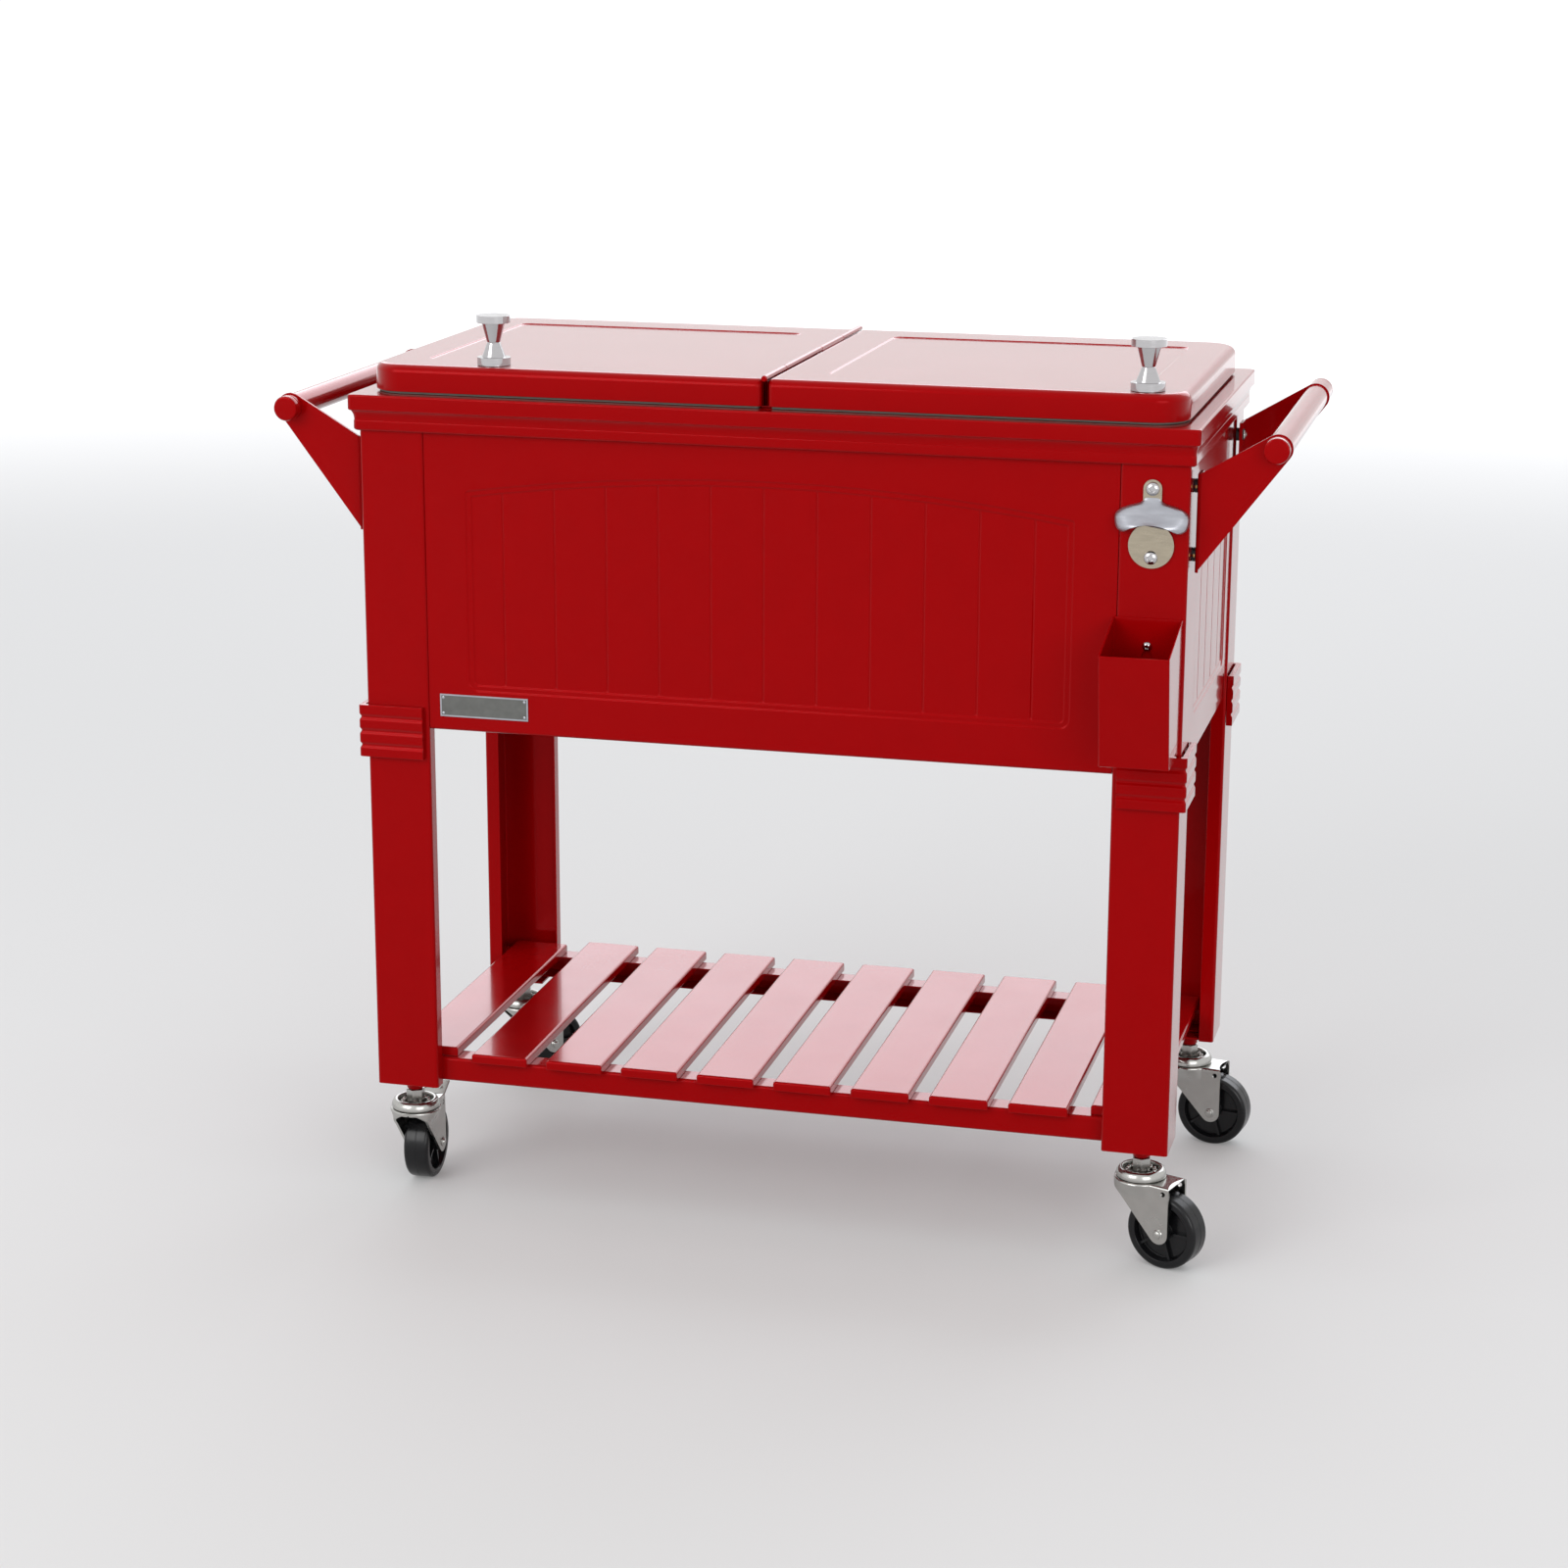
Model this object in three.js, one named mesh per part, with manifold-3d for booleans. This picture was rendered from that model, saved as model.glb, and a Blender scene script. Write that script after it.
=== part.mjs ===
// A rolling patio cooler: a folded sheet body on four legs and casters, with two lids on a centre hinge,
// a slatted shelf, two tube handles, a bottle opener and a cap catcher.
// Millimetres, +X right, +Y back, +Z up. The front faces -Y and the wheels stand at z = 0.
import * as THREE from "three";
import { mergeVertices } from "three/addons/utils/BufferGeometryUtils.js";
import Module from "manifold-3d";

const wasm = await Module();
wasm.setup();

// Sheet, clearances and rounding
const sheet = 1.5;
const bend = 3;
const bendSteps = 2;
const gap = 0.3;
const overrun = 1;
const mergeWithin = 0.001;
const cornerSteps = 3;
const roundSides = 12;
const halfTurn = Math.PI;
const quarterTurn = Math.PI / 2;

// Body
const width = 800;
const depth = 400;
const bodyHeight = 699;
const standHeight = 118;
const panelBottomShare = 372 / 699;

// Legs
const legFront = 64;
const legSide = 60;
const legLip = 15;
const footThickness = 2.5;
const footInset = 4;
const footBossDiameter = 17;
const footBossHeight = 13;
const stemInsetX = 28.4;
const stemInsetY = 29.9;

// Collars under the body
const collarHeight = 52;
const collarRise = 22;
const collarProud = 7;
const collarValley = 4.8;
const collarStandOff = 3;
const collarInsetX = 5;
const collarInsetY = 2;
const collarRibs = 4;
const collarRibSteps = 3;

// Crown
const crownOverhang = 9;
const crownCorner = 5;
const crownEdge = 2;
const crownLedge = 33.7;
const fasciaHeight = 15;
const coveHeight = 10;
const coveSteps = 3;
const bandHeight = 10;
const bandOverhang = 5;
const bandEdge = 2.5;

// Panels
const panelSetBack = 3;
const panelReturn = 15;
const frameBottomInset = 41.5;
const frameShoulderDrop = 90;
const frameRidge = 5;
const frameRidgeProud = 1.5;
const frameCorner = 10;
const archSteps = 8;
const grooveWidth = 3;
const grooveDepth = 0.8;
const frontFrameInset = 42.7;
const frontArchRise = 23;
const frontGrooves = 11;
const frontGrooveInset = 37;
const sideFrameInset = 28;
const sideArchRise = 8;
const sideGrooves = 4;
const sideGrooveInset = 40;

// Tub, drain and insulation
const tubWall = 2.5;
const tubCorner = 22;
const tubRim = 10;
const tubFloorHeight = 32;
const tubFloorRadius = 12;
const sumpLength = 44;
const sumpWidth = 40;
const sumpInset = 14;
const sumpDepth = 18.5;
const spoutDiameter = 18;
const spoutBore = 12;
const spoutReach = 14;
const capDiameter = 28;
const capEnd = 4;
const capBarHeight = 8;
const capBarWidth = 5;
const capSides = 16;
const insulationMargin = 17;

// Lids
const lidSideMargin = 6.5;
const lidFrontMargin = 5;
const lidHeight = 25.5;
const lidLift = 2.5;
const lidCorner = 34;
const lidHingeCorner = 5;
const lidEdge = 8;
const lidHingeEdge = 3;
const lidCentreGap = 3.4;
const lidRecessHinge = 48;
const lidRecessEnd = 50;
const lidRecessSide = 55;
const lidRecessDepth = 2.5;
const lidRecessCorner = 8;
const lidRecessSlope = 3;
const linerHeight = 3.5;
const linerThickness = 2;
const gasketWidth = 5;
const gasketInset = 1.2;
const plugDepth = 23;
const plugMargin = 11;
const plugHingeInset = 20;
const plugCorner = 14;

// Centre hinge
const barrelRadius = 3;
const barrelRise = 0.6;
const barrelReach = 0;
const pinRadius = 1.5;
const pinHeadRadius = 2.7;
const pinHeadThickness = 1.2;
const hingeSides = 10;
const leafHeight = 14;
const leafThickness = 1;
const railHalfWidth = 16;
const railFlangeDepth = 17;
const railBearing = 18;
const webHalfWidth = 1;
const seamShares = [-0.614, 0.115, 0.575];

// Knobs
const knobBaseDiameter = 32;
const knobBaseThickness = 6;
const knobConeDiameter = 23;
const knobWaistDiameter = 12.4;
const knobWaistHeight = 21.6;
const knobNeckDiameter = 22.4;
const knobNeckHeight = 39;
const knobDiscDiameter = 32.6;
const knobHeight = 47.5;
const knobEdge = 1.5;
const knobStudDiameter = 5;
const knobNutDiameter = 10;
const knobNutHeight = 4;
const knobSides = 16;
const leftKnobEndInset = 120.5;
const rightKnobEndInset = 39.5;
const knobFrontInset = 26;

// Shelf
const railHeight = 24.5;
const railDepth = 25;
const railFootGap = 1;
const slatCount = 10;
const slatWidth = 58;
const slatHeight = 9;
const slatBend = 2;
const slatEndInset = 49;
const slatOverhang = 6;
const endSlatInset = 21;

// Handles
const handleRodDiameter = 24.5;
const handleRodWall = 2;
const handleRodDrop = 18;
const handleReach = 76;
const handleRodFront = 0;
const handleRodBack = 5;
const handleVent = 4;
const handleSides = 16;
const ringInset = 8;
const ringWidth = 1.6;
const ringDepth = 1;
const rodChamfer = 1.5;
const bracketThickness = 3;
const bracketStandOff = 4;
const bracketTopDrop = 44;
const bracketHeight = 91;
const bracketDepth = 25;
const bracketFrontInset = 15;
const bracketBackInset = 45;
const bracketCollar = 1.4;
const bracketArcSteps = 6;
const spacerDiameter = 12;
const bracketScrewDiameter = 10;
const bracketScrewHead = 3;
const bracketScrewInsetShares = [0.14, 0.84];

// Bottle opener
const openerInset = 34;
const openerPlate = 2;
const openerDropShare = 56 / 327;
const openerTabDiameter = 17;
const openerDiscDiameter = 42;
const openerDiscShare = 53.5 / 327;
const openerScrewDiameter = 13;
const openerScrewHead = 3.6;
const openerLowScrewDrop = 11;
const openerHoodDrop = 5.5;
const openerHoodHeight = 31.5;
const openerHoodHalfWidth = 34.3;
const openerHoodReach = 20;
const openerHoodThickness = 2.6;
const openerHoodArch = 9;
const openerHoodShares = [0, 0.3, 0.6, 0.85, 1];
const openerArcSteps = 6;
const openerToothWidth = 9;
const openerToothDrop = 3;

// Cap catcher and its screw
const catcherWidth = 64.5;
const catcherDepth = 64;
const catcherTopDepth = 84;
const catcherOuterInset = 2.5;
const catcherLedge = 2;
const catcherFrontShare = 107 / 327;
const catcherBackShare = 127 / 327;
const catcherScrewDrop = 26.5;
const catcherScrewShank = 4;
const catcherScrewHead = 9;
const catcherScrewHeadDepth = 3;
const catcherLift = 9.5;
const keyholeDiameter = 10;
const catcherNutDiameter = 9;
const catcherNutDepth = 4;

// Casters: the wheel trails the swivel axis along the caster's own +X
const wheelRadius = 37.5;
const wheelWidth = 26;
const wheelShoulder = 2.5;
const wheelRim = 9.5;
const wheelWebWidth = 12;
const wheelSides = 20;
const hubDiameter = 18;
const axleDiameter = 8;
const axleClearance = 0.3;
const axleHeadDiameter = 13;
const axleHead = 3;
const trail = 30;
const forkWidth = 36;
const forkPlate = 2.5;
const forkTopHeight = 85.7;
const forkDiscDiameter = 52;
const forkRear = 40;
const forkFront = 18;
const forkFrontDrop = 8;
const forkEye = 10;
const forkArcSteps = 5;
const kingpinDiameter = 12;
const kingpinHeadDiameter = 16;
const kingpinHead = 4;
const racewayDiameter = 49;
const racewayTopDiameter = 34;
const racewayHeight = 9;
const racewayShoulder = 6;
const hexAcross = 16.5;
const stemDiameter = 10;
const stemClearance = 0.3;
const casterHeadings = { front_left: 92, back_left: 45, front_right: -21, back_right: -9 };
const brakedCasters = ["front_left", "back_left"];

// Brake pedals
const brakePinTrail = 34;
const brakePinDrop = 4.2;
const brakePinDiameter = 4;
const brakePinClearance = 0.5;
const brakeHubDiameter = 6;
const brakeThickness = 2;
const brakeWidth = 29.4;
const brakeKnee = 8;
const brakeKneeRise = 1;
const brakeReach = 32;
const brakeRise = 12;
const brakeShoeTrail = 5;
const brakeShoeDrop = 3.7;
const brakeShoeThickness = 2;

// Worked out from the sizes above
const halfWidth = width / 2;
const halfDepth = depth / 2;
const legBottom = standHeight;
const crownTop = legBottom + bodyHeight;
const crownUnder = crownTop - sheet;
const legTop = crownUnder - gap;
const legInnerX = halfWidth - legFront;
const legInnerY = halfDepth - legSide;
const stemX = halfWidth - stemInsetX;
const stemY = halfDepth - stemInsetY;
const panelBottom = legBottom + bodyHeight * panelBottomShare;
const panelHeight = crownTop - panelBottom;
const collarTop = panelBottom + collarRise;
const tubHalfX = halfWidth - crownLedge - gap;
const tubHalfY = halfDepth - crownLedge - gap;
const tubFloor = panelBottom + tubFloorHeight;
const tubRimTop = crownTop + gap + sheet;
const spoutHeight = tubFloor - tubWall - spoutDiameter / 2;
const spoutX = -(halfWidth - panelSetBack + spoutReach);
const lidBottom = crownTop + lidLift;
const lidTop = lidBottom + lidHeight;
const lidEndX = halfWidth - lidSideMargin;
const lidHalfY = halfDepth - lidFrontMargin;
const hingeHeight = lidTop + barrelRise;
const barrelEnd = lidHalfY + barrelReach;
const seams = seamShares.map((share) => share * lidHalfY);
const catcherX = halfWidth - catcherOuterInset - catcherWidth / 2;
const catcherBottom = collarTop + catcherLedge;
const catcherBack = -halfDepth - gap;
const catcherFrontHeight = panelHeight * catcherFrontShare;
const catcherBackHeight = panelHeight * catcherBackShare;
const catcherScrewHeight = catcherBottom + catcherBackHeight - catcherScrewDrop;

// Finishes
const finishes = {
  redCoat: new THREE.MeshStandardMaterial({ color: 0x940509, roughness: 0.3, metalness: 0.1 }),
  zinc: new THREE.MeshStandardMaterial({ color: 0xb9babb, roughness: 0.35, metalness: 0.9 }),
  nickel: new THREE.MeshStandardMaterial({ color: 0xa9a49c, roughness: 0.3, metalness: 0.95 }),
  steel: new THREE.MeshStandardMaterial({ color: 0xc4c4c6, roughness: 0.22, metalness: 1 }),
  blackRubber: new THREE.MeshStandardMaterial({ color: 0x17181a, roughness: 0.55, metalness: 0 }),
  liner: new THREE.MeshStandardMaterial({ color: 0xd9dbd8, roughness: 0.45, metalness: 0 }),
  seal: new THREE.MeshStandardMaterial({ color: 0x8d938a, roughness: 0.7, metalness: 0 }),
  foam: new THREE.MeshStandardMaterial({ color: 0xe6dfc4, roughness: 0.9, metalness: 0 }),
  blackPlastic: new THREE.MeshStandardMaterial({ color: 0x1d1d1f, roughness: 0.5, metalness: 0 }),
};

// Solids

// Triangles with three different corners, turned so that the surface faces outwards
function facesOut(index, position) {
  const faces = [];
  let volume = 0;
  const [a, b, c] = [new THREE.Vector3(), new THREE.Vector3(), new THREE.Vector3()];
  for (let i = 0; i < index.length; i += 3) {
    const [p, q, r] = [index[i], index[i + 1], index[i + 2]];
    if (p === q || q === r || r === p) continue;
    a.fromArray(position, p * 3);
    b.fromArray(position, q * 3);
    c.fromArray(position, r * 3);
    volume += a.dot(b.cross(c));
    faces.push(p, q, r);
  }
  return volume < 0 ? faces.reverse() : faces;
}

// A closed geometry as a solid that can be joined and cut
function solid(geometry) {
  const bare = new THREE.BufferGeometry();
  bare.setAttribute("position", geometry.getAttribute("position"));
  bare.setIndex(geometry.index);
  const merged = mergeVertices(bare, mergeWithin);
  const vertProperties = merged.getAttribute("position").array;
  const triVerts = new Uint32Array(facesOut(merged.index.array, vertProperties));
  return new wasm.Manifold(new wasm.Mesh({ numProp: 3, vertProperties, triVerts }));
}

function geometryOf(made) {
  const { vertProperties, triVerts } = made.getMesh();
  const geometry = new THREE.BufferGeometry();
  geometry.setAttribute("position", new THREE.BufferAttribute(vertProperties, 3));
  geometry.setIndex(new THREE.BufferAttribute(triVerts, 1));
  return geometry;
}

function join(...solids) {
  return solids.reduce((whole, next) => whole.add(next));
}

function cut(whole, ...tools) {
  return tools.reduce((rest, tool) => rest.subtract(tool), whole);
}

function moved(made, matrix) {
  return solid(geometryOf(made).applyMatrix4(matrix));
}

// The same solid on another side: signs of -1 mirror it
function mirrored(made, signX, signY) {
  return moved(made, new THREE.Matrix4().makeScale(signX, signY, 1));
}

function block([x0, x1], [y0, y1], [z0, z1]) {
  const geometry = new THREE.BoxGeometry(x1 - x0, y1 - y0, z1 - z0);
  geometry.translate((x0 + x1) / 2, (y0 + y1) / 2, (z0 + z1) / 2);
  return solid(geometry);
}

// Where an outline's two directions and its length point, for a length along X, Y or Z
const bases = {
  x: [[0, 1, 0], [0, 0, 1], [1, 0, 0]],
  y: [[1, 0, 0], [0, 0, 1], [0, 1, 0]],
  z: [[1, 0, 0], [0, 1, 0], [0, 0, 1]],
};

function basis(axis) {
  const columns = bases[axis].map((column) => new THREE.Vector3(...column));
  return new THREE.Matrix4().makeBasis(...columns);
}

function shapeOf(outline) {
  return new THREE.Shape(outline.map(([u, v]) => new THREE.Vector2(u, v)));
}

// An outline, with holes if any, carried along an axis
function prism(outline, axis, [from, to], holes = []) {
  const shape = shapeOf(outline);
  shape.holes = holes.map(shapeOf);
  const geometry = new THREE.ExtrudeGeometry(shape, { depth: to - from, bevelEnabled: false });
  geometry.translate(0, 0, from);
  return solid(geometry.applyMatrix4(basis(axis)));
}

function arc([u, v], radius, from, to, steps) {
  return Array.from({ length: steps + 1 }, (_, i) => {
    const angle = from + ((to - from) * i) / steps;
    return [u + radius * Math.cos(angle), v + radius * Math.sin(angle)];
  });
}

// A round outline, with a flat side at its lowest point
function circle(centre, radius, sides = roundSides) {
  const start = -quarterTurn + halfTurn / sides;
  return arc(centre, radius, start, start + 2 * halfTurn, sides).slice(1);
}

function bar(centre, radius, axis, range, sides = roundSides) {
  return prism(circle(centre, radius, sides), axis, range);
}

// A profile of [radius, length] points turned about an axis through a point
function turned(profile, axis, [u, v], sides) {
  const start = halfTurn / sides;
  const points = profile.map(([radius, length]) => new THREE.Vector2(radius, length));
  const geometry = new THREE.LatheGeometry(points, sides, start);
  geometry.rotateX(quarterTurn);
  geometry.translate(u, v, 0);
  return solid(geometry.applyMatrix4(basis(axis)));
}

// Triangles that fill a flat ring, with their edges running the way the ring does
function fill(ring) {
  const normal = [0, 0, 0];
  ring.forEach((p, i) => {
    const q = ring[(i + 1) % ring.length];
    normal.forEach((_, k) => {
      const [m, n] = [(k + 1) % 3, (k + 2) % 3];
      normal[k] += (p[m] - q[m]) * (p[n] + q[n]);
    });
  });
  const sizes = normal.map(Math.abs);
  const k = sizes.indexOf(Math.max(...sizes));
  const flat = ring.map((p) => new THREE.Vector2(p[(k + 1) % 3], p[(k + 2) % 3]));
  const triangles = THREE.ShapeUtils.triangulateShape(flat, []);
  const area = triangles.reduce((sum, t) => sum + THREE.ShapeUtils.area(t.map((i) => flat[i])), 0);
  const along = area * THREE.ShapeUtils.area(flat) > 0;
  return along ? triangles : triangles.map(([a, b, c]) => [a, c, b]);
}

// Rings of equal count joined in turn: the ends are filled, or the last ring meets the first
function lofted(rings, endless = false) {
  const count = rings[0].length;
  const index = [];
  const pairs = endless ? rings.length : rings.length - 1;
  for (let r = 0; r < pairs; r++) {
    for (let i = 0; i < count; i++) {
      const [a, b] = [r * count + i, r * count + ((i + 1) % count)];
      const next = ((r + 1) % rings.length) * count;
      const [c, d] = [next + i, next + ((i + 1) % count)];
      index.push(a, b, d, a, d, c);
    }
  }
  if (!endless) {
    const last = (rings.length - 1) * count;
    fill(rings[0]).forEach(([a, b, c]) => index.push(a, c, b));
    fill(rings.at(-1)).forEach(([a, b, c]) => index.push(last + a, last + b, last + c));
  }
  const geometry = new THREE.BufferGeometry();
  geometry.setAttribute("position", new THREE.Float32BufferAttribute(rings.flat(2), 3));
  geometry.setIndex(index);
  return solid(geometry);
}

// A level rectangle with round corners, its corner radii in order from right front, against the clock
function roundRing([x0, x1], [y0, y1], radii, z, steps = cornerSteps) {
  const corners = [[x1, y0], [x1, y1], [x0, y1], [x0, y0]];
  const inwards = [[-1, 1], [-1, -1], [1, -1], [1, 1]];
  return corners.flatMap(([x, y], i) => {
    const radius = radii[i];
    const centre = [x + inwards[i][0] * radius, y + inwards[i][1] * radius];
    const start = (i - 1) * quarterTurn;
    return arc(centre, radius, start, start + quarterTurn, steps).map(([u, v]) => [u, v, z]);
  });
}

function squareRing(halfX, halfY, radius, z) {
  const radii = [radius, radius, radius, radius];
  return roundRing([-halfX, halfX], [-halfY, halfY], radii, z, bendSteps);
}

// A path with each inner corner rounded
function rounded(path, radius, steps) {
  if (radius === 0) return path;
  return path.flatMap((point, i) => {
    if (i === 0 || i === path.length - 1) return [point];
    const corner = new THREE.Vector2(...point);
    const before = new THREE.Vector2(...path[i - 1]).sub(corner).normalize();
    const after = new THREE.Vector2(...path[i + 1]).sub(corner).normalize();
    const half = Math.acos(THREE.MathUtils.clamp(before.dot(after), -1, 1)) / 2;
    const middle = before.clone().add(after).normalize();
    const centre = corner.clone().addScaledVector(middle, radius / Math.sin(half));
    const side = Math.sign(before.cross(after));
    const facing = middle.angle() + halfTurn;
    const swing = quarterTurn - half;
    return arc([centre.x, centre.y], radius, facing + side * swing, facing - side * swing, steps);
  });
}

// The outline of a strip of sheet folded along a path, with its thickness on the path's left
function folded(path, thickness, radius = bend, steps = bendSteps) {
  const points = rounded(path, radius, steps).map((point) => new THREE.Vector2(...point));
  const lefts = points.slice(1).map((point, i) => {
    const run = point.clone().sub(points[i]).normalize();
    return new THREE.Vector2(-run.y, run.x);
  });
  const inner = points.map((point, i) => {
    const before = lefts[Math.max(i - 1, 0)];
    const after = lefts[Math.min(i, lefts.length - 1)];
    const sum = before.clone().add(after);
    return point.clone().addScaledVector(sum, thickness / (1 + before.dot(after)));
  });
  return [...points, ...inner.reverse()].map(({ x, y }) => [x, y]);
}

// Legs and collars, drawn at the front right

function legSolid() {
  const path = [
    [legInnerX, -halfDepth + legLip],
    [legInnerX, -halfDepth],
    [halfWidth, -halfDepth],
    [halfWidth, -legInnerY],
    [halfWidth - legLip, -legInnerY],
  ];
  const foot = block(
    [legInnerX + footInset, halfWidth - sheet / 2],
    [-halfDepth + sheet / 2, -legInnerY - footInset],
    [legBottom, legBottom + footThickness],
  );
  const bossBottom = legBottom - footBossHeight;
  const boss = bar([stemX, -stemY], footBossDiameter / 2, "z", [bossBottom, legBottom + footThickness]);
  const bore = bar(
    [stemX, -stemY],
    stemDiameter / 2 + stemClearance,
    "z",
    [bossBottom - overrun, legBottom + footThickness + overrun],
  );
  return cut(join(prism(folded(path, sheet), "z", [legBottom, legTop]), foot, boss), bore);
}

function collarSolid() {
  const top = collarTop;
  const bottom = top - collarHeight;
  const rib = collarHeight / collarRibs;
  const steps = collarRibs * collarRibSteps;
  const swell = collarProud - collarValley;
  const ribbed = Array.from({ length: steps + 1 }, (_, i) => {
    const bulge = Math.abs(Math.sin((halfTurn * i) / collarRibSteps));
    return [collarValley + swell * bulge, bottom + (rib * i) / collarRibSteps];
  });
  const profile = [[gap, bottom], ...ribbed, [gap, top]];
  const stations = [
    { at: [legInnerX + collarInsetX, -halfDepth], out: [0, -1] },
    ...arc([halfWidth - bend, -halfDepth + bend], bend, -quarterTurn, 0, cornerSteps).map(([x, y]) => ({
      at: [x, y],
      out: [(x - halfWidth + bend) / bend, (y + halfDepth - bend) / bend],
    })),
    { at: [halfWidth, -legInnerY - collarInsetY], out: [1, 0] },
  ];
  const rings = stations.map(({ at, out }) =>
    profile.map(([proud, z]) => [at[0] + out[0] * proud, at[1] + out[1] * proud, z]),
  );
  const pocket = [
    [legInnerX + collarInsetX + sheet, -halfDepth - collarStandOff],
    [halfWidth + collarStandOff, -halfDepth - collarStandOff],
    [halfWidth + collarStandOff, -legInnerY - collarInsetY - sheet],
  ];
  const hollow = folded(pocket, collarStandOff - gap + overrun, bend + collarStandOff, cornerSteps);
  return cut(lofted(rings), prism(hollow, "z", [bottom - overrun, top + overrun]));
}

// Crown: a folded sheet moulding round the top, as offsets from the legs' outer faces

function crownSolid() {
  const bottom = crownTop - fasciaHeight - coveHeight - bandHeight;
  const bandTop = bottom + bandHeight;
  const bandArc = arc([bandOverhang - bandEdge, bottom + bandEdge], bandEdge, -quarterTurn, 0, bendSteps);
  const cove = arc([0, 0], 1, 0, quarterTurn, coveSteps).map(([out, up]) => [
    crownOverhang - (crownOverhang - bandOverhang) * out,
    bandTop + coveHeight * up,
  ]);
  const edge = arc([crownOverhang - crownEdge, crownTop - crownEdge], crownEdge, 0, quarterTurn, bendSteps);
  const path = [[gap, bottom], ...bandArc, ...cove, ...edge, [-crownLedge, crownTop]];
  const profile = folded(path, sheet, 0);
  const ringAt = ([offset, z]) => {
    const inner = offset < 0 ? tubCorner + gap : bend + gap;
    const radius = offset > bandOverhang / 2 ? crownCorner : inner;
    return squareRing(halfWidth + offset, halfDepth + offset, radius, z);
  };
  return lofted(profile.map(ringAt), true);
}

// Panels, drawn as a front panel whose outer face lies a distance before the middle

function archHeight(x, frameHalf, rise) {
  const radius = (frameHalf ** 2 + rise ** 2) / (2 * rise);
  return rise - radius + Math.sqrt(radius ** 2 - x ** 2);
}

function frameOutline(frameHalf, shoulder, bottom, rise, inset) {
  const half = frameHalf - inset;
  const low = bottom + inset;
  const corner = frameCorner - inset;
  const topOf = (x) => shoulder + archHeight(x, frameHalf, rise) - inset;
  const arch = Array.from({ length: archSteps + 1 }, (_, i) => {
    const x = half * (1 - (2 * i) / archSteps);
    return [x, topOf(x)];
  });
  const right = arc([half - corner, low + corner], corner, -quarterTurn, 0, cornerSteps);
  const left = arc([-half + corner, low + corner], corner, halfTurn, halfTurn + quarterTurn, cornerSteps);
  return [...right, ...arch, ...left];
}

function panelSolid(outFace, halfLength, frameInset, rise, grooves, grooveInset) {
  const face = -outFace;
  const across = [-halfLength, halfLength];
  const skin = block(across, [face, face + sheet], [panelBottom, legTop]);
  const lip = block(across, [face, face + panelReturn], [panelBottom, panelBottom + sheet]);
  const frameHalf = halfLength - frameInset;
  const low = panelBottom + frameBottomInset;
  const shoulder = crownTop - frameShoulderDrop;
  const outer = frameOutline(frameHalf, shoulder, low, rise, 0);
  const inner = frameOutline(frameHalf, shoulder, low, rise, frameRidge);
  const ridge = prism(outer, "y", [face - frameRidgeProud, face + sheet / 2], [inner]);
  const reach = frameHalf - grooveInset;
  const cuts = Array.from({ length: grooves }, (_, i) => {
    const x = -reach + (2 * reach * i) / (grooves - 1);
    const top = shoulder + archHeight(x, frameHalf, rise) - frameRidge;
    const notch = [
      [x - grooveWidth / 2, face - overrun],
      [x + grooveWidth / 2, face - overrun],
      [x + grooveWidth / 2, face],
      [x, face + grooveDepth],
      [x - grooveWidth / 2, face],
    ];
    return prism(notch, "z", [low + frameRidge, top]);
  });
  return join(cut(join(skin, lip), ...cuts), ridge);
}

function turnedAbout(made, quarters) {
  return moved(made, new THREE.Matrix4().makeRotationZ(quarters * quarterTurn));
}

function frontPanel() {
  const outFace = halfDepth - panelSetBack;
  const halfLength = legInnerX - gap;
  return panelSolid(outFace, halfLength, frontFrameInset, frontArchRise, frontGrooves, frontGrooveInset);
}

function sidePanel() {
  const outFace = halfWidth - panelSetBack;
  const halfLength = legInnerY - gap;
  return panelSolid(outFace, halfLength, sideFrameInset, sideArchRise, sideGrooves, sideGrooveInset);
}

// The left panel lets the drain spout through
function leftPanel() {
  const hole = bar(
    [0, spoutHeight],
    spoutDiameter / 2 + 2 * gap,
    "x",
    [-halfWidth - overrun, -halfWidth + panelReturn],
  );
  return cut(turnedAbout(sidePanel(), 3), hole);
}

// Floor pan on the panels' lower returns, notched round the legs' lips
function floorPan() {
  const bottom = panelBottom + sheet + gap;
  const inset = panelSetBack + sheet + gap;
  const [wide, deep] = [halfWidth - inset, halfDepth - inset];
  const [narrow, shallow] = [legInnerX - sheet - gap, legInnerY - sheet - gap];
  const levels = [bottom, bottom + sheet];
  return join(
    block([-wide, wide], [-shallow, shallow], levels),
    block([-narrow, narrow], [-deep, deep], levels),
  );
}

// Tub with its drain sump and spout, and the foam round it

function sumpRange() {
  const start = -tubHalfX + tubWall + sumpInset;
  return [start, start + sumpLength];
}

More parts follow.
